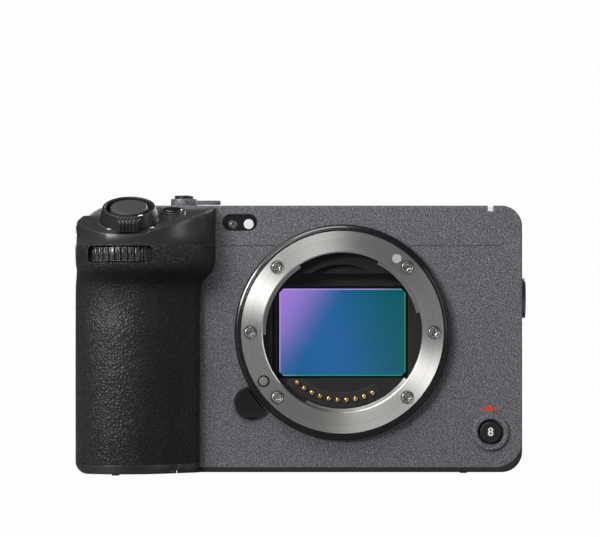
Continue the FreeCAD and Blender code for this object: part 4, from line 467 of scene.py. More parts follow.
def moulded_finish(name, base, bright, low, high, relief=0.00002, scale=3000.0, coat=0.0, shine=0.3):
    """Moulded plastic: base colour, edge colour (wear, and a painted highlight where it is very pale), a
    gloss range and a fine grain.
    """
    material, tree, shader = new_finish(name)
    grain = bump(tree, use(tree, GRAIN, Scale=scale)["Height"], 0.6, relief)
    fill(tree, shader, Base_Color=worn(tree, base, bright), Roughness=smudged(tree, low, high),
         Specular_IOR_Level=shine, Coat_Weight=coat, Normal=grain)
    return material


def metal_finish(name, base, bright, low, high):
    """Machined metal whose edges wear bright."""
    material, tree, shader = new_finish(name)
    grain = bump(tree, use(tree, GRAIN, Scale=5200.0)["Height"], 0.4, 0.00001)
    fill(tree, shader, Base_Color=worn(tree, base, bright), Roughness=smudged(tree, low, high),
         Metallic=1.0, Normal=grain)
    return material


def paint_finish():
    material, tree, shader = new_finish("grey_speckled_paint")
    paint = use(tree, SPECKLE, Base=grey(0.078, 0.009), Fleck=grey(0.26, 0.02), Pit=grey(0.028, 0.005))
    color = worn(tree, paint["Color"], grey(0.3, 0.01), Radius=0.0003, Strength=0.6)
    fill(tree, shader, Base_Color=color, Roughness=smudged(tree, 0.42, 0.6), Metallic=0.25,
         Normal=bump(tree, paint["Height"], 0.7, 0.00006))
    return material


# %% [markdown]
# The grip's leather is painted darker under its head and in the valley beside the mount: this is painted
# shade, not a darker leather. A fine dark line draws the lower half of the thumb inset. Both are worked
# out from the position.

# %% Leather finish
RECESS_TOP, RECESS_LOW = 60.5 * MM, 47.0 * MM
RECESS_FADE_LOW, RECESS_FADE_TOP, VALLEY_FADE_TOP = 6.5 * MM, 3.0 * MM, 4.0 * MM
VALLEY_LEFT, VALLEY_RIGHT = -62.5 * MM, -56.0 * MM
VALLEY_SHARE = 0.8
INSET_X, INSET_Z, INSET_HALF, INSET_LONG = -59.4 * MM, 48.7 * MM, 2.6 * MM, 2.4 * MM
INSET_LINE = 0.22 * MM


def grip_zones_group():
    """Painted shade under the grip's head and in its valley, and the line of its thumb inset."""
    tree, _, result = open_group("grip_zones", {}, {"Shade": "Float", "Line": "Float"})
    spot = place_parts(tree)
    under_head = calc(tree, "MULTIPLY", eased(tree, spot["Z"], RECESS_LOW, RECESS_LOW + RECESS_FADE_LOW),
                      eased(tree, spot["Z"], RECESS_TOP, RECESS_TOP - RECESS_FADE_TOP))
    valley = calc(tree, "MULTIPLY", eased(tree, spot["X"], VALLEY_LEFT, VALLEY_RIGHT),
                  eased(tree, spot["Z"], RECESS_TOP, RECESS_TOP - VALLEY_FADE_TOP))
    shade = calc(tree, "MAXIMUM", under_head, calc(tree, "MULTIPLY", valley, VALLEY_SHARE))
    across = calc(tree, "SUBTRACT", spot["X"], INSET_X)
    low_end = calc(tree, "MINIMUM", calc(tree, "SUBTRACT", spot["Z"], INSET_Z), 0.0)
    squares = [calc(tree, "MULTIPLY", side, side) for side in (across, low_end)]
    reach = calc(tree, "SQRT", calc(tree, "ADD", *squares))
    off_line = calc(tree, "ABSOLUTE", calc(tree, "SUBTRACT", reach, INSET_HALF))
    line = eased(tree, off_line, INSET_LINE, INSET_LINE * 0.3)
    below_top = calc(tree, "LESS_THAN", spot["Z"], INSET_Z + INSET_LONG)
    fill(tree, result, Shade=shade, Line=calc(tree, "MULTIPLY", line, below_top))
    return tree


GRIP_SHADE_AND_INSET = grip_zones_group()


def leather_finish():
    material, tree, shader = new_finish("grip_leather_black")
    hide = use(tree, LEATHER, Scale=1000.0)
    zones = use(tree, GRIP_SHADE_AND_INSET)
    # Painted shade: the creases between the pebbles are painted darker than the pebbles.
    crease_painted_shade = blend_colors(tree, hide["Crease"], 0.012, 0.002)
    # Painted shade: the leather is painted near black under the head and in the valley.
    painted_shade_tone = blend_colors(tree, zones["Shade"], crease_painted_shade, 0.002)
    toned = blend_colors(tree, zones["Line"], painted_shade_tone, 0.001)
    gloss = calc(tree, "MULTIPLY_ADD", hide["Crease"], 0.3, smudged(tree, 0.36, 0.46))
    dull = calc(tree, "MULTIPLY_ADD", zones["Shade"], 0.22, gloss)
    cut_in = calc(tree, "MULTIPLY_ADD", zones["Line"], -1.2, hide["Height"])
    fill(tree, shader, Base_Color=worn(tree, toned, 0.05, Strength=0.4), Specular_IOR_Level=0.36,
         Roughness=calc(tree, "MINIMUM", dull, 1.0), Normal=bump(tree, cut_in, 1.0, 0.0002))
    return material


# %% Mount steel and clear lamp


def mount_finish():
    material, tree, shader = new_finish("brushed_mount_steel")
    lines = use(tree, TURNED, Centre=(0.0, 0.0, AXIS_HEIGHT))
    tone = blend_colors(tree, lines["Streak"], (0.52, 0.51, 0.49, 1), (0.70, 0.69, 0.67, 1))
    # Edges painted near white: polish wear, and a painted highlight for the thin bright line round the
    # ring's edges.
    fill(tree, shader, Base_Color=worn(tree, tone, (0.9, 0.89, 0.86, 1), Radius=0.0003), Metallic=1.0,
         Roughness=calc(tree, "MULTIPLY_ADD", lines["Streak"], 0.1, 0.3), Tangent=lines["Around"],
         Anisotropic=0.9, Anisotropic_Rotation=0.25, Normal=bump(tree, lines["Height"], 0.35, 0.00001))
    return material


def lamp_finish():
    material, tree, shader = new_finish("lamp_clear")
    fill(tree, shader, Base_Color=(0.75, 0.74, 0.76, 1), Roughness=smudged(tree, 0.2, 0.28), Alpha=0.9,
         Coat_Weight=0.6)
    return material


# %% The finishes
PAINT = paint_finish()
LEATHER_BLACK = leather_finish()
MOUNT_STEEL = mount_finish()
BLACK = moulded_finish("moulded_black", 0.017, 0.06, 0.38, 0.5)
SATIN_BLACK = moulded_finish("satin_black", 0.013, 0.07, 0.26, 0.36, relief=0.00001)
GLOSS_BLACK = moulded_finish("gloss_black", 0.008, 0.05, 0.12, 0.2, relief=0.000003, coat=0.5)
RUBBER = moulded_finish("matt_rubber", 0.02, 0.035, 0.6, 0.75, scale=2200.0)
BAFFLE = moulded_finish("baffle_black", 0.006, 0.02, 0.55, 0.7, scale=4200.0)
STEEL = metal_finish("plain_steel", (0.56, 0.55, 0.53, 1), (0.8, 0.79, 0.77, 1), 0.22, 0.36)
ALLOY = metal_finish("cast_light_alloy", grey(0.42, 0.01), grey(0.6, 0.01), 0.4, 0.55)
INSERT_METAL = metal_finish("insert_metal", grey(0.17, 0.005), 0.5, 0.32, 0.44)
GOLD = metal_finish("gold_contact", (0.83, 0.56, 0.22, 1), (1.0, 0.8, 0.42, 1), 0.18, 0.3)
WHITE_MARK = moulded_finish("white_mark", 0.6, 0.7, 0.35, 0.45, relief=0.000002)
PEARL_DOT = moulded_finish("pearl_dot", (0.36, 0.355, 0.35, 1), 0.45, 0.3, 0.4, relief=0.000002)
RED_MARK = moulded_finish("red_mark", (0.55, 0.035, 0.015, 1), (0.7, 0.08, 0.04, 1), 0.35, 0.45,
                          relief=0.000002)
LAMP_CLEAR = lamp_finish()
print("finishes:", len(bpy.data.materials))

# %% [markdown]
# ## Shapes
# Most pieces are drawn in section and then turned or pushed out, as a machinist would.
# Sections and outlines are given in mm. Real edges are never sharp: the rounded rim
# catches a line of light, which is what makes a small part read as solid.

# %% Shape helpers
FRONT = (0.0, -1.0, 0.0)
ROUND_STEPS = 4
CORNER_SHARE = 0.49
MERGE_DISTANCE = 0.000002
SHARP_ANGLE = math.radians(32.0)
RIM_SEGMENTS = 3
RIM_ANGLE = 0.5
UPRIGHT_LIMIT = 1e-6
STRAIGHT_LIMIT = 1e-4
LEVEL_LIMIT = 1e-9


def scaled(points):
    return [(x * MM, y * MM) for x, y in points]


def tidy_piece(name, mesh):
    """Object with doubled corners merged, faces turned outward and sharp edges marked."""
    work = bmesh.new()
    work.from_mesh(mesh)
    bmesh.ops.remove_doubles(work, verts=work.verts, dist=MERGE_DISTANCE)
    bmesh.ops.recalc_face_normals(work, faces=work.faces)
    for face in work.faces:
        face.smooth = True
    for edge in work.edges:
        if len(edge.link_faces) == 2:
            edge.smooth = edge.calc_face_angle() < SHARP_ANGLE
    work.to_mesh(mesh)
    work.free()
    return show(name, mesh)


def piece_of(name, work):
    mesh = bpy.data.meshes.new(name)
    work.to_mesh(mesh)
    work.free()
    return tidy_piece(name, mesh)


def frame_at(origin, forward):
    """Matrix whose third axis is forward; local X, Y span the face it looks out of."""
    third = Vector(forward).normalized()
    first = Vector((0.0, 0.0, 1.0)).cross(third)
    if first.length < UPRIGHT_LIMIT:
        first = Vector((1.0, 0.0, 0.0))
    first.normalize()
    matrix = Matrix((first, third.cross(first), third)).transposed().to_4x4()
    matrix.translation = Vector(origin)
    return matrix


def front_frame(x, y, z):
    """Frame at a place in mm, looking at the viewer."""
    return frame_at((x * MM, y * MM, z * MM), FRONT)


def round_corner(start, corner, end, radius):
    """Points of an arc that rounds one corner of a section."""
    corner = Vector(corner)
    first = Vector(start) - corner
    last = Vector(end) - corner
    half = first.angle(last) / 2.0
    if half < STRAIGHT_LIMIT or half > math.pi / 2.0 - STRAIGHT_LIMIT:
        return [tuple(corner)]
    reach = min(radius / math.tan(half), first.length * CORNER_SHARE, last.length * CORNER_SHARE)
    radius = reach * math.tan(half)
    middle = corner + (first.normalized() + last.normalized()).normalized() * (radius / math.sin(half))
    begin = corner + first.normalized() * reach - middle
    sweep = begin.angle_signed(corner + last.normalized() * reach - middle)
    points = []
    for step in range(ROUND_STEPS + 1):
        turn = -sweep * step / ROUND_STEPS
        cos, sin = math.cos(turn), math.sin(turn)
        points.append((middle.x + begin.x * cos - begin.y * sin,
                       middle.y + begin.x * sin + begin.y * cos))
    return points


def soften(section, radii):
    """Section in metres with its inner corners rounded; radii in mm: one value or one per corner."""
    points = scaled(section)
    if not isinstance(radii, (list, tuple)):
        radii = [radii] * len(points)
    rounded = [points[0]]
    for index in range(1, len(points) - 1):
        if radii[index] <= 0.0:
            rounded.append(points[index])
        else:
            rounded.extend(round_corner(*points[index - 1:index + 2], radii[index] * MM))
    return rounded + [points[-1]]


def turned(name, section, radii, matrix, steps=96):
    """Turn a (radius, height) section round local Z; its corners are rounded first."""
    points = soften(section, radii)
    verts = []
    for index in range(steps):
        turn = math.tau * index / steps
        verts.extend(matrix @ Vector((x * math.cos(turn), x * math.sin(turn), z)) for x, z in points)
    count = len(points)
    faces = []
    for index in range(steps):
        here, after = index * count, (index + 1) % steps * count
        for row in range(count - 1):
            faces.append((here + row, here + row + 1, after + row + 1, after + row))
    mesh = bpy.data.meshes.new(name)
    mesh.from_pydata([tuple(vert) for vert in verts], [], faces)
    return tidy_piece(name, mesh)


def round_rim(work, level, width):
    """Bevel the sharp edges that lie at one height."""
    rims = []
    for edge in work.edges:
        flat = all(abs(vert.co.z - level) < LEVEL_LIMIT for vert in edge.verts)
        if flat and len(edge.link_faces) == 2 and edge.calc_face_angle() > RIM_ANGLE:
            rims.append(edge)
    bmesh.ops.bevel(work, geom=rims, offset=width, segments=RIM_SEGMENTS, profile=0.5, affect="EDGES")


def pushed(name, outline, depth, matrix, rim=0.0, back_rim=0.0, holes=()):
    """Push a closed outline out along local Z, with rounded rims. holes: outlines cut out."""
    work = bmesh.new()
    edges = []
    for loop in [outline] + list(holes):
        corners = [work.verts.new((x, y, 0.0)) for x, y in scaled(loop)]
        edges += [work.edges.new(pair) for pair in zip(corners, corners[1:] + corners[:1])]
    filled = bmesh.ops.triangle_fill(work, edges=edges, use_beauty=True, use_dissolve=False)
    faces = [item for item in filled["geom"] if isinstance(item, bmesh.types.BMFace)]
    grown = bmesh.ops.extrude_face_region(work, geom=faces)
    lifted = [item for item in grown["geom"] if isinstance(item, bmesh.types.BMVert)]
    bmesh.ops.translate(work, verts=lifted, vec=(0.0, 0.0, depth * MM))
    bmesh.ops.recalc_face_normals(work, faces=work.faces)
    for level, width in ((depth, rim), (0.0, back_rim)):
        if width > 0.0:
            round_rim(work, level * MM, width * MM)
    bmesh.ops.transform(work, matrix=matrix, verts=work.verts)
    return piece_of(name, work)


def join_pieces(name, parts):
    """One object from several meshes that share a finish and a body."""
    work = bmesh.new()
    for part in parts:
        work.from_mesh(part.data)
        bpy.data.objects.remove(part)
    return piece_of(name, work)


print("shape helpers ready")

# %% Outlines


def circle(radius, steps, centre=(0.0, 0.0)):
    turns = [math.tau * step / steps for step in range(steps)]
    return [(centre[0] + radius * math.cos(turn), centre[1] + radius * math.sin(turn)) for turn in turns]


def box_outline(x, y, wide, tall):
    left, right, low, high = x - wide / 2, x + wide / 2, y - tall / 2, y + tall / 2
    return [(left, low), (right, low), (right, high), (left, high)]


def rounded_box(half_x, half_y, corner, steps=8):
    """Outline of a rectangle with round corners."""
    points = []
    for quarter, (sign_x, sign_y) in enumerate(((1, 1), (-1, 1), (-1, -1), (1, -1))):
        middle = (sign_x * (half_x - corner), sign_y * (half_y - corner))
        for step in range(steps + 1):
            turn = math.radians(90.0) * (quarter + step / steps)
            points.append((middle[0] + corner * math.cos(turn), middle[1] + corner * math.sin(turn)))
    return points


# %% [markdown]
# ## Fitting pieces to the frame
# Each new piece hides the working nodes that it stands for, rides on an empty for their body, and carries
# its finish. A node that already has the right shape keeps it and only gets softened edges and a finish.

# %% Fitting helpers
NODE_RIM = 0.12
NODE_RIM_ANGLE = math.radians(35.0)
WELD_DISTANCE = 0.000004


def fit(piece, finish, body="camera_body", replaces=()):
    """Give a piece its finish and material slot, and fix it to a working body."""
    piece.data.materials.append(finish)
    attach(piece, body)
    if replaces:
        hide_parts(*replaces)
    return piece


def dress(node_name, finish, rim=NODE_RIM):
    """Finish a working node: weld its split corners and soften its edges."""
    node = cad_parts[node_name]
    weld = node.modifiers.new("weld", "WELD")
    weld.merge_threshold = WELD_DISTANCE
    bevel = node.modifiers.new("soft_edges", "BEVEL")
    bevel.width = rim * MM
    bevel.segments = 2
    bevel.limit_method = "ANGLE"
    bevel.angle_limit = NODE_RIM_ANGLE
    bevel.harden_normals = True
    bevel.use_clamp_overlap = True
    node.data.materials.clear()
    node.data.materials.append(finish)


# %% [markdown]
# ## The sensor's painted reflection
# The filter in front of the sensor is a stack of thin films: it throws back violet on one side and teal
# on the other. Deep in its black box it has no bright scene to mirror, so this reflected colour is
# painted as gradients over the sensor's width and height and given off as a faint glow, though the sensor
# is no lamp. The rim is a bevel in the glass; its green and lavender reflection is painted the same way.

# %% Sensor finish
SENSOR_HALF_WIDE = 18.5 * MM
SENSOR_HALF_TALL = 12.8 * MM
SENSOR_RIM = 0.42 * MM
REFLECTED_BLUE, REFLECTED_TEAL = (0.014, 0.138, 0.400, 1), (0.000, 0.115, 0.150, 1)
REFLECTED_VIOLET, REFLECTED_DEEP = (0.40, 0.24, 0.80, 1), (0.008, 0.13, 0.33, 1)
RIM_REFLECTED_LAVENDER, RIM_REFLECTED_GREEN = (0.55, 0.45, 0.95, 1), (0.010, 0.42, 0.20, 1)


def painted_reflection_group():
    """Painted reflection colours of the films over the sensor; across and up run from -1 to 1 over its
    face.
    """
    tree, given, result = open_group("film_colours", {"Centre Height": AXIS_HEIGHT}, {"Colour": "Color"})
    spot = place_parts(tree)
    height = calc(tree, "SUBTRACT", spot["Z"], given["Centre Height"])
    across = calc(tree, "DIVIDE", spot["X"], SENSOR_HALF_WIDE)
    up = calc(tree, "DIVIDE", height, SENSOR_HALF_TALL)
    teal_share = eased(tree, calc(tree, "MULTIPLY_ADD", up, 0.1, across), -0.35, 0.95)
    body = blend_colors(tree, teal_share, REFLECTED_BLUE, REFLECTED_TEAL)
    left = calc(tree, "MULTIPLY_ADD", up, -0.42, calc(tree, "ADD", across, 0.62))
    body = blend_colors(tree, eased(tree, left, 0.34, -0.72), body, REFLECTED_VIOLET)
    deep = eased(tree, calc(tree, "MULTIPLY_ADD", across, 0.5, up), -0.2, -1.4)
    body = blend_colors(tree, calc(tree, "MULTIPLY", deep, 0.4), body, REFLECTED_DEEP)
    edge_x = calc(tree, "SUBTRACT", SENSOR_HALF_WIDE, calc(tree, "ABSOLUTE", spot["X"]))
    edge_z = calc(tree, "SUBTRACT", SENSOR_HALF_TALL, calc(tree, "ABSOLUTE", height))
    rim = eased(tree, calc(tree, "MINIMUM", edge_x, edge_z), SENSOR_RIM, SENSOR_RIM * 0.45)
    green_share = eased(tree, calc(tree, "MULTIPLY_ADD", up, -0.9, across), -0.5, 0.35)
    rim_reflection = blend_colors(tree, green_share, RIM_REFLECTED_LAVENDER, RIM_REFLECTED_GREEN)
    fill(tree, result, Colour=blend_colors(tree, calc(tree, "MULTIPLY", rim, 0.85), body, rim_reflection))
    return tree


SENSOR_PAINTED_REFLECTION = painted_reflection_group()


def sensor_glow_finish():
    material, tree, shader = new_finish("sensor_filter")
    film = use(tree, SENSOR_PAINTED_REFLECTION)["Colour"]
    # Painted reflection given off as a glow, though the sensor is no lamp.
    fill(tree, shader, Emission_Color=film, Emission_Strength=0.82, Base_Color=(0.01, 0.012, 0.02, 1.0),
         Roughness=smudged(tree, 0.12, 0.18), Coat_Weight=0.5)
    return material


SENSOR_PAINTED_GLOW = sensor_glow_finish()

# %% [markdown]
# ## Lens mount
# The black ring under the steel mount was turned from one bar: a broad foot on the
# body, a step, and a rounded lip that stands just behind the flange face. Gloss black
# shows the step only through two thin circles of light, so the corners are rounded.

# %% Base ring
RING_SECTION = [(24.4, 22.0), (24.4, 23.65), (29.34, 23.65), (29.34, 25.6), (30.0, 25.6), (30.25, 24.1),
                (30.85, 23.9), (31.3, 23.2), (31.3, 21.5)]
RING_BLACK = moulded_finish("ring_gloss_black", 0.006, 0.03, 0.2, 0.26, relief=0.000003,
                            coat=0.3, shine=0.4)
ring_frame = frame_at((0.0, 0.0, AXIS_HEIGHT), FRONT)
base_ring = turned("mount_base_ring_shown", RING_SECTION, 0.22, ring_frame, 160)
fit(base_ring, RING_BLACK, replaces=["mount_base_ring"])
print("base ring corners:", len(base_ring.data.vertices))

# %% [markdown]
# The steel ring keeps the working node's shape. Each screw sits in a counterbore and
# its cross recess holds a dark shadow, so the screws get their own heads, domed a
# little so that the cross shows.

# %% Mount screws
SCREW_CIRCLE = 26.6
SCREW_SEAT_Y = -25.2
SCREW_ANGLES = (0.0, 45.0, 135.0, 180.0, 225.0, 315.0)
SCREW_TURNS = (12.0, 63.0, 31.0, 80.0, 47.0, 5.0)
CROSS_ARM, CROSS_WIDE = 0.82, 0.19
HEAD_RADIUS, HEAD_TALL, HEAD_RIM = 1.62, 0.62, 0.22
FLOOR_RADIUS, FLOOR_TALL, FLOOR_DROP = 1.3, 0.25, 0.2


def on_ring(radius, angle, y):
    """Frame on a circle round the optical axis, looking forward; mm and degrees."""
    turn = math.radians(angle)
    return front_frame(radius * math.cos(turn), y, AXIS_HEIGHT / MM + radius * math.sin(turn))


def cross_outline(turn, size):
    """Twelve corners of a cross, turned by an angle in degrees."""
    arm, half = CROSS_ARM * size, CROSS_WIDE * size
    corners = [(half, half), (half, arm), (-half, arm), (-half, half), (-arm, half), (-arm, -half),
               (-half, -half), (-half, -arm), (half, -arm), (half, -half), (arm, -half), (arm, half)]
    spin = Matrix.Rotation(math.radians(turn), 2)
    return [tuple(spin @ Vector(corner)) for corner in corners]


def cross_screw(name, seat, turn, size=1.0):
    """Domed screw head with a cross recess, standing on a seat matrix."""
    head = pushed(name, circle(HEAD_RADIUS * size, 48), HEAD_TALL * size, seat, rim=HEAD_RIM * size,
                  holes=[cross_outline(turn, size)])
    sunk = seat @ Matrix.Translation((0.0, 0.0, -FLOOR_DROP * size * MM))
    recess_floor = pushed(name + "_floor", circle(FLOOR_RADIUS * size, 24), FLOOR_TALL * size, sunk)
    return [head, recess_floor]


def mount_screws():
    parts = []
    for angle, turn in zip(SCREW_ANGLES, SCREW_TURNS):
        parts.extend(cross_screw("screw", on_ring(SCREW_CIRCLE, angle, SCREW_SEAT_Y), turn))
    return join_pieces("mount_screws_shown", parts)


SCREW_STEEL = metal_finish("screw_steel", (0.42, 0.41, 0.40, 1), (0.95, 0.94, 0.92, 1), 0.2, 0.3)
fit(mount_screws(), SCREW_STEEL, replaces=["mount_screws"])

# %% [markdown]
# A counterbore reads as a pale ring because its edge was broken with a countersink. The node's bore is
# straight, so a thin ring of brighter steel is laid into each edge: cut steel, painted brighter than the
# mount to stand for the light that the countersink would catch. The lock pin is steel in a steel ring and
# would vanish: as on the real mount, a dark ring stands round it, and the pin's own edge is rounded so
# that it catches a point of light.

# %% Counterbore rings and lock pin
LOCK_PIN_CIRCLE, LOCK_PIN_ANGLE, LOCK_PIN_RIM = 26.8, 211.8, 0.5
BORE_RING, BORE_RING_Y = (1.72, 2.02, 0.1), -25.9
PIN_RING, PIN_RING_Y = (1.28, 1.74, 0.14), -25.94


def edge_ring(name, inner, outer, height, matrix, rounding=0.06, steps=48):
    """Ring on a face; inner radius, outer radius and height in mm."""
    section = [(inner, 0.0), (inner, height), (outer, height), (outer, 0.0)]
    return turned(name, section, rounding, matrix, steps)


# Brighter steel for the counterbore rings: cut steel with a painted highlight.
COUNTERSINK_HIGHLIGHT = metal_finish("countersunk_edge", (0.7, 0.69, 0.67, 1), (0.95, 0.94, 0.92, 1), 0.24, 0.34)
bore_frames = [on_ring(SCREW_CIRCLE, angle, BORE_RING_Y) for angle in SCREW_ANGLES]
bore_rings = [edge_ring("bore", *BORE_RING, matrix) for matrix in bore_frames]
fit(join_pieces("counterbore_rings", bore_rings), COUNTERSINK_HIGHLIGHT)
pin_frame = on_ring(LOCK_PIN_CIRCLE, LOCK_PIN_ANGLE, PIN_RING_Y)
fit(edge_ring("lock_pin_ring", *PIN_RING, pin_frame), RING_BLACK)
dress("lens_lock_pin", STEEL, LOCK_PIN_RIM)
print("mount pieces ready")

# %% [markdown]
# ## Small pieces on the front
# Marks and tiny lenses lie on faces that curve or slope. A ray from one side finds the
# face and its slope, so a mark can be pushed out of a flat outline and laid on it.
# The window stays a dark plate: what the photograph shows in it is a pale diffuser on
# the right and a small lens on the left.

# %% Laying a piece on a face
SIDES = {"front": FRONT, "rear": (0, 1, 0), "top": (0, 0, 1), "under": (0, 0, -1)}
RAY_START = 0.25
MARK_THICK = 0.05
DIGIT_SIZE, DIGIT_BOLD = 3.3, 0.022


def face_of(node_name, place, side="front"):
    """Point and outward normal where a ray from one side meets a node; place in mm."""
    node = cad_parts[node_name]
    outward = Vector(SIDES[side])
    hit, point, normal, _ = node.ray_cast(Vector(place) * MM + outward * RAY_START, -outward)
    if not hit:
        raise ValueError("no face of %s at %s" % (node_name, place))
    return point, normal if normal.dot(outward) > 0.0 else -normal


def marks_at(name, matrix, outlines, thick=MARK_THICK):
    """Flat marks pushed out of outlines in mm, as one piece."""
    return join_pieces(name, [pushed(name + "_part", outline, thick, matrix) for outline in outlines])


def printed(name, node_name, place, outlines, side="front", finish=WHITE_MARK):
    """Marks laid on one side of a node that belongs to the camera body."""
    mark = marks_at(name, frame_at(*face_of(node_name, place, side)), outlines)
    fit(mark, finish)


def digit_piece(name, text, matrix):
    """A plain digit from Blender's own font, as a thin solid."""
    curve = bpy.data.curves.new(name + "_curve", "FONT")
    curve.body = text
    curve.size = DIGIT_SIZE * MM
    curve.align_x = "CENTER"
    curve.align_y = "CENTER"
    curve.extrude = MARK_THICK * MM / 2.0
    curve.offset = DIGIT_SIZE * MM * DIGIT_BOLD
    holder = show(name + "_curve", curve)
    bpy.context.view_layer.update()
    mesh = bpy.data.meshes.new_from_object(holder.evaluated_get(bpy.context.evaluated_depsgraph_get()))
    bpy.data.objects.remove(holder)
    mesh.name = name
    mesh.transform(matrix)
    return tidy_piece(name, mesh)


# %% Window, record mark and digit
WINDOW_BLACK = moulded_finish("window_glass", 0.012, 0.05, 0.1, 0.16, relief=0.000002, coat=0.4)
PEARL = moulded_finish("pearl_diffuser", (0.62, 0.61, 0.60, 1), 0.8, 0.25, 0.35, relief=0.000004)
LENS_GLASS = moulded_finish("tiny_lens", grey(0.03, 0.005), 0.5, 0.04, 0.08, 0.0, coat=1.0, shine=0.9)
WINDOW_Z = 72.4
DIFFUSER_X, TINY_LENS_X = -27.2, -31.9
DIFFUSER_SECTION = [(0.0, 0.07), (1.2, 0.06), (1.42, 0.0)]
LENS_SECTION = [(0.0, 0.09), (0.3, 0.08), (0.52, 0.02), (0.56, 0.0), (0.78, 0.0), (0.82, 0.05),
                (0.98, 0.05), (1.04, 0.0)]
window_y = face_of("sensor_window", (-29.5, 0.0, WINDOW_Z))[0].y / MM
diffuser_frame = front_frame(DIFFUSER_X, window_y, WINDOW_Z)
diffuser = turned("window_diffuser", DIFFUSER_SECTION, 0.05, diffuser_frame, 48)
fit(diffuser, PEARL)
tiny_lens = turned("window_lens", LENS_SECTION, 0.0, front_frame(TINY_LENS_X, window_y, WINDOW_Z), 48)
fit(tiny_lens, LENS_GLASS)

record_shapes = [circle(0.95, 32), box_outline(-2.1, 0.0, 1.1, 0.5), box_outline(2.1, 0.0, 1.1, 0.5)]
printed("record_mark", "front_cover", (42.7, 0.0, 18.8), record_shapes, finish=RED_MARK)
button_point = face_of("front_record_button", (43.0, 0.0, 12.0))[0]
digit = digit_piece("record_digit", "8", frame_at(button_point, FRONT))
fit(digit, WHITE_MARK, "front_record_button")
print("window and record pieces at y", round(window_y, 2))

# %% [markdown]
# The release button sits in a round well with a narrow gloss rim. The rim is turned as
# a full ring: its far side lies behind the edge of the mount's base ring, which hides it.
# The top cover meets the front cover in a straight seam. A dark line a sixth of a
# millimetre tall marks its gap on both sides of the mount, as the photograph shows.

# %% Release button rim and cover seam
BODY_FRONT = -21.5
WELL_X, WELL_Z = -26.9, 20.4
WELL_RIM, WELL_ROUNDING, WELL_STEPS = (4.62, 5.05, 0.22), 0.08, 96
SEAM_Z, SEAM_TALL, SEAM_THICK = 66.1, 0.17, 0.012
SEAM_RUNS = ((-36.2, -19.2), (19.2, 46.4))
# The rim's edges are painted pale: edge wear and a painted highlight that outlines the rim.
RIM_BLACK_PAINTED_HIGHLIGHT = moulded_finish("release_rim_black", 0.03, 0.3, 0.24, 0.3, relief=0.000002, shine=0.6)
well_frame = front_frame(WELL_X, BODY_FRONT, WELL_Z)
well_rim = edge_ring("release_rim", *WELL_RIM, well_frame, WELL_ROUNDING, WELL_STEPS)
fit(well_rim, RIM_BLACK_PAINTED_HIGHLIGHT)
seam_shapes = [box_outline((start + end) / 2.0, 0.0, end - start, SEAM_TALL) for start, end in SEAM_RUNS]
seam = marks_at("cover_seam", front_frame(0.0, BODY_FRONT, SEAM_Z), seam_shapes, SEAM_THICK)
fit(seam, RING_BLACK)
print("release rim and seam ready")

# %% [markdown]
# ## Lever and shutter button
# The lever is a turned ring whose bore steps wider at the top, which leaves the deep
# black gap round the button. Its tab is a block with raised ribs that run over its
# top and down its front. All of it is drawn upright and then tipped forward with the
# grip's head.

# %% Lever
HEAD_TILT = math.radians(25.0)
BUTTON_BASE = (-61.2 * MM, -34.0 * MM, 73.4 * MM)
HEAD_FRAME = Matrix.Translation(BUTTON_BASE) @ Matrix.Rotation(HEAD_TILT, 4, "X")
LEVER_SECTION = [(5.6, 0.1), (5.6, 1.5), (6.7, 1.5), (6.82, 3.98), (7.62, 3.98), (8.5, 0.1)]
LEVER_RADII = [0.0, 0.1, 0.2, 0.22, 0.3, 0.0]
TAB_FRONT = [(-3.75, -7.3), (-3.0, -9.7), (2.6, -9.7), (3.75, -7.4), (3.0, -6.6), (-3.0, -6.6)]
TAB_LIFT, TAB_TALL, TAB_RIM = 0.3, 3.25, 0.35
RIB_SIDE = [(-6.9, 3.2), (-6.95, 4.0), (-9.3, 3.85), (-10.25, 3.1), (-10.5, 0.7), (-9.6, 0.35)]
RIB_COUNT, RIB_PITCH, RIB_WIDE, RIB_RIM, RIB_SHIFT = 5, 0.98, 0.56, 0.12, -0.25
POINTER = [(2.75, -7.15), (4.3, -6.15), (3.95, -5.65), (3.0, -6.2)]
POINTER_LIFT, POINTER_TALL = 3.97, 0.06


def lifted_head(height):
    return HEAD_FRAME @ Matrix.Translation((0.0, 0.0, height * MM))


def lever_tab():
    parts = [pushed("tab_block", TAB_FRONT, TAB_TALL, lifted_head(TAB_LIFT), rim=TAB_RIM)]
    for index in range(RIB_COUNT):
        x = (index - (RIB_COUNT - 1) / 2.0) * RIB_PITCH + RIB_SHIFT
        side = HEAD_FRAME @ frame_at(((x - RIB_WIDE / 2) * MM, 0.0, 0.0), (1.0, 0.0, 0.0))
        parts.append(pushed("tab_rib", RIB_SIDE, RIB_WIDE, side, rim=RIB_RIM, back_rim=RIB_RIM))
    return parts


LEVER_BLACK = moulded_finish("lever_satin", 0.014, 0.05, 0.34, 0.44, relief=0.000006, shine=0.3)
lever_ring = turned("lever_ring", LEVER_SECTION, LEVER_RADII, HEAD_FRAME, 128)
lever = join_pieces("zoom_lever_shown", [lever_ring] + lever_tab())
fit(lever, LEVER_BLACK, "zoom_lever", ["zoom_lever"])
pointer = pushed("lever_pointer", POINTER, POINTER_TALL, lifted_head(POINTER_LIFT))
fit(pointer, WHITE_MARK, "zoom_lever")
print("lever faces:", len(lever.data.polygons))

# %% [markdown]
# The button's face is dished so that a fingertip finds its middle, and the dish takes
# the top light in a smooth gradient. Beside it two marks are printed: one triangle for
# wide, two for near.

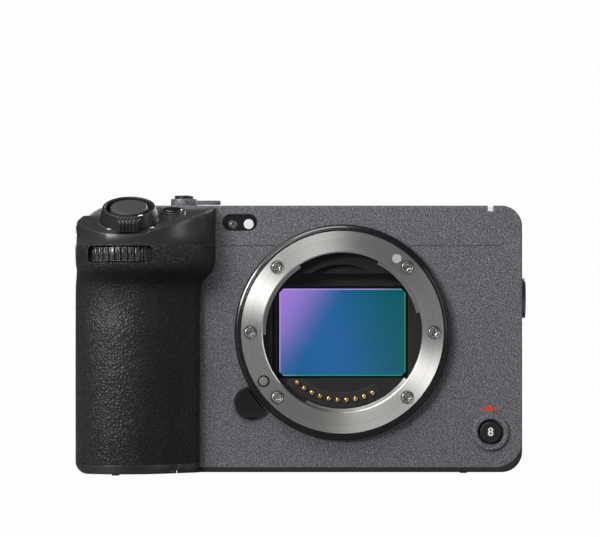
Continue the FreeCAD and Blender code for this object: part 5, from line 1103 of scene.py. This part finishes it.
# %% Shutter button and marks on the head
BUTTON_SECTION = [(0.0, 3.62), (1.5, 3.64), (3.0, 3.74), (4.3, 3.92), (4.95, 4.05), (5.36, 3.85),
                  (5.4, 1.95), (0.0, 1.95)]
BUTTON_RADII = [0.0, 0.0, 0.0, 0.0, 0.25, 0.3, 0.0, 0.0]
BUTTON_SATIN = moulded_finish("button_satin", 0.034, 0.1, 0.42, 0.5, relief=0.000006)
button = turned("shutter_button_shown", BUTTON_SECTION, BUTTON_RADII, HEAD_FRAME, 128)
fit(button, BUTTON_SATIN, "shutter_button", ["shutter_button"])
triangle = [(-0.75, -0.5), (0.75, -0.5), (0.0, 0.75)]
peaks = [[(-1.25, -0.45), (0.05, -0.45), (-0.6, 0.5)], [(-0.05, -0.45), (1.25, -0.45), (0.6, 0.5)]]
printed("wide_mark", "grip_top_cover", (-66.6, 0.0, 70.6), [triangle])
printed("near_mark", "grip_top_cover", (-54.9, 0.0, 71.0), peaks)
HEAD_BLACK = moulded_finish("head_satin", 0.02, 0.1, 0.3, 0.4, relief=0.000008, shine=0.45)
# Dial black: its edges are painted very pale, edge wear and painted glints along the ribs and the lip.
DIAL_BLACK_PAINTED_GLINTS = moulded_finish("dial_black", 0.008, 0.35, 0.2, 0.3, relief=0.000006, shine=0.5)
print("head ready")

# %% [markdown]
# ## Rear and sides
# The rear cover is one black moulding. Its thumb rest carries the same hide grain as the
# grip. The two finishes share one material: the position says where the grain starts, so
# the change needs no seam.

# %% Rear finish
THUMB_REST_X = -66.2 * MM
THUMB_REST_FADE = 0.3 * MM
REAR_FACE_Y = 25.0 * MM
RISE_START, RISE_END = 0.2 * MM, 0.6 * MM


def rear_finish():
    material, tree, shader = new_finish("rear_moulded_black")
    spot = place_parts(tree)
    beside = eased(tree, spot["X"], THUMB_REST_X + THUMB_REST_FADE, THUMB_REST_X - THUMB_REST_FADE)
    raised = eased(tree, spot["Y"], REAR_FACE_Y + RISE_START, REAR_FACE_Y + RISE_END)
    padded = calc(tree, "MULTIPLY", beside, raised)
    tone = blend_colors(tree, padded, 0.02, 0.012)
    hide = calc(tree, "MULTIPLY", use(tree, LEATHER, Scale=1000.0)["Height"], padded)
    grain = calc(tree, "MULTIPLY_ADD", use(tree, GRAIN, Scale=3000.0)["Height"], 0.08, hide)
    fill(tree, shader, Base_Color=worn(tree, tone, 0.07), Roughness=smudged(tree, 0.4, 0.52),
         Specular_IOR_Level=0.4, Normal=bump(tree, grain, 1.0, 0.0002))
    return material


REAR_BLACK = rear_finish()
print("rear finish ready")

# %% [markdown]
# Small dark screws hold the rear cover and the base plate, as on the real body. They are
# the mount's screw at three quarters of its size, set by rays onto the faces.

# %% Cover screws
COVER_SCREW_SIZE, COVER_SCREW_SUNK = 0.72, 0.35
SCREW_RIM, SCREW_ROUNDING, SCREW_RIM_STEPS = (1.3, 1.62, 0.1), 0.04, 40
SCREW_TURN_START, SCREW_TURN_STEP = 25.0, 31.0
REAR_SCREWS = [(47.0, 0.0, 71.8), (47.6, 0.0, 4.6), (-30.6, 0.0, 4.2), (-71.6, 0.0, 7.6)]
BASE_SCREWS = [(46.0, -14.0, 0.0), (46.0, 15.0, 0.0), (-38.0, 16.0, 0.0), (-38.0, -16.0, 0.0),
               (8.0, 16.5, 0.0), (22.0, -16.0, 0.0)]
BLACK_STEEL = metal_finish("black_screw", grey(0.06, 0.002), 0.3, 0.28, 0.38)


def cover_screws(name, node_name, places, side):
    parts = []
    for index, place in enumerate(places):
        point, normal = face_of(node_name, place, side)
        seat = frame_at(point - normal * COVER_SCREW_SUNK * MM, normal)
        turn = SCREW_TURN_START + SCREW_TURN_STEP * index
        parts.extend(cross_screw("screw", seat, turn, COVER_SCREW_SIZE))
        flat = frame_at(point, normal)
        parts.append(edge_ring("screw_rim", *SCREW_RIM, flat, SCREW_ROUNDING, SCREW_RIM_STEPS))
    fit(join_pieces(name, parts), BLACK_STEEL)


cover_screws("rear_screws", "rear_cover", REAR_SCREWS, "rear")
cover_screws("base_screws", "base_plate", BASE_SCREWS, "under")
print("cover screws:", len(REAR_SCREWS) + len(BASE_SCREWS))

# %% [markdown]
# Marks by the keys are pad printed: thin, pale and flat. They are generic shapes, namely
# bars for the menu, a triangle for playback, dots for the two top keys, a dot and a bar
# for off and on.

# %% Rear and top marks
WHEEL_X, WHEEL_Z, WHEEL_FACE_Z = -46.0, 22.0, 34.5
TICK_REACH, TICK_LONG, TICK_WIDE = 11.3, 1.3, 0.4

menu_bars = [box_outline(0.0, rise, 2.8, 0.36) for rise in (-0.9, 0.0, 0.9)]
printed("menu_mark", "rear_cover", (-29.6, 0.0, 71.5), menu_bars, "rear")
play_shape = [(-1.1, -1.25), (1.3, 0.0), (-1.1, 1.25)]
printed("play_mark", "rear_cover", (-60.0, 0.0, 27.2), [play_shape], "rear")
ticks = [box_outline(0.0, side * TICK_REACH, TICK_WIDE, TICK_LONG) for side in (1, -1)]
ticks += [box_outline(side * TICK_REACH, 0.0, TICK_LONG, TICK_WIDE) for side in (1, -1)]
wheel_point, wheel_normal = face_of("rear_cover", (WHEEL_X, 0.0, WHEEL_FACE_Z), "rear")
wheel_frame = frame_at((WHEEL_X * MM, wheel_point.y, WHEEL_Z * MM), wheel_normal)
fit(marks_at("wheel_ticks", wheel_frame, ticks), WHITE_MARK)
two_dots = [circle(0.5, 24, (-0.9, 0.0)), circle(0.5, 24, (0.9, 0.0))]
bar_and_dot = [box_outline(-2.2, 0.0, 0.4, 1.7), circle(0.45, 24, (2.2, 0.0))]
printed("left_key_mark", "top_cover", (-30.5, 14.0, 0.0), [circle(0.5, 24)], "top")
printed("right_key_mark", "top_cover", (-21.5, 14.0, 0.0), two_dots, "top")
printed("power_marks", "top_cover", (-41.0, 15.6, 0.0), bar_and_dot, "top")
print("printed marks ready")

# %% [markdown]
# The monitor's glass is one dark sheet. When it is off, the picture area still shows as
# a slightly paler field with a fine border, so a thin sheet with its own finish lies on it.

# %% Monitor picture area
FIELD_PLACE = (8.5, 0.0, 35.0)
FIELD_HALF_WIDE, FIELD_HALF_TALL, FIELD_CORNER, FIELD_THICK = 30.6, 22.6, 0.6, 0.03
FIELD_BLACK = moulded_finish("picture_field_black", (0.012, 0.014, 0.019, 1), 0.05, 0.1, 0.16,
                             relief=0.000002, coat=0.6)
field_frame = frame_at(*face_of("monitor_screen", FIELD_PLACE, "rear"))
field_outline = rounded_box(FIELD_HALF_WIDE, FIELD_HALF_TALL, FIELD_CORNER)
field = pushed("picture_field", field_outline, FIELD_THICK, field_frame)
fit(field, FIELD_BLACK, "monitor")
print("picture area ready")

# %% [markdown]
# Every working node that no drawn piece replaces gets its finish here. The covers have
# softer edges than the small parts.

# %% Dress the working nodes
DRESSED = (
    (PAINT, "front_cover side_cover top_cover record_button_ring power_lever"),
    (REAR_BLACK, "rear_cover"),
    (MOUNT_STEEL, "lens_mount_ring"),
    (STEEL, "tripod_socket"),
    (ALLOY, "chassis_frame stabiliser_stage heat_sink"),
    (INSERT_METAL, "thread_inserts"),
    (GOLD, "contact_pins"),
    (PEARL_DOT, "mount_index_dot"),
    (BAFFLE, "light_box"),
    (SENSOR_PAINTED_GLOW, "image_sensor"),
    (WINDOW_BLACK, "sensor_window"),
    (LAMP_CLEAR, "tally_lamp"),
    (HEAD_BLACK, "grip_top_cover"),
    (LEATHER_BLACK, "grip_skin card_door"),
    (RUBBER, "joystick_cap data_port_door audio_port_door"),
    (DIAL_BLACK_PAINTED_GLINTS, "front_dial rear_dial control_wheel"),
    (GLOSS_BLACK, "lens_release_button main_board window_optics custom_button monitor_screen"),
    (SATIN_BLACK, "accessory_shoe front_record_button top_record_button top_key_left top_key_right"),
    (SATIN_BLACK, "menu_button playback_button"),
    (BLACK, "base_plate contact_block shutter_unit sensor_carrier fan_housing fan_rotor"),
    (BLACK, "card_slot_unit port_sockets grip_frame battery battery_door door_latch"),
    (BLACK, "wheel_button joystick_gimbal monitor_arm monitor_shell"),
)
COVERS = ("front_cover", "side_cover", "top_cover", "rear_cover")
COVER_RIM = 0.2

dressed = [(name, finish) for finish, names in DRESSED for name in names.split()]
for name, finish in dressed:
    dress(name, finish, COVER_RIM if name in COVERS else NODE_RIM)
print("dressed:", len(dressed))
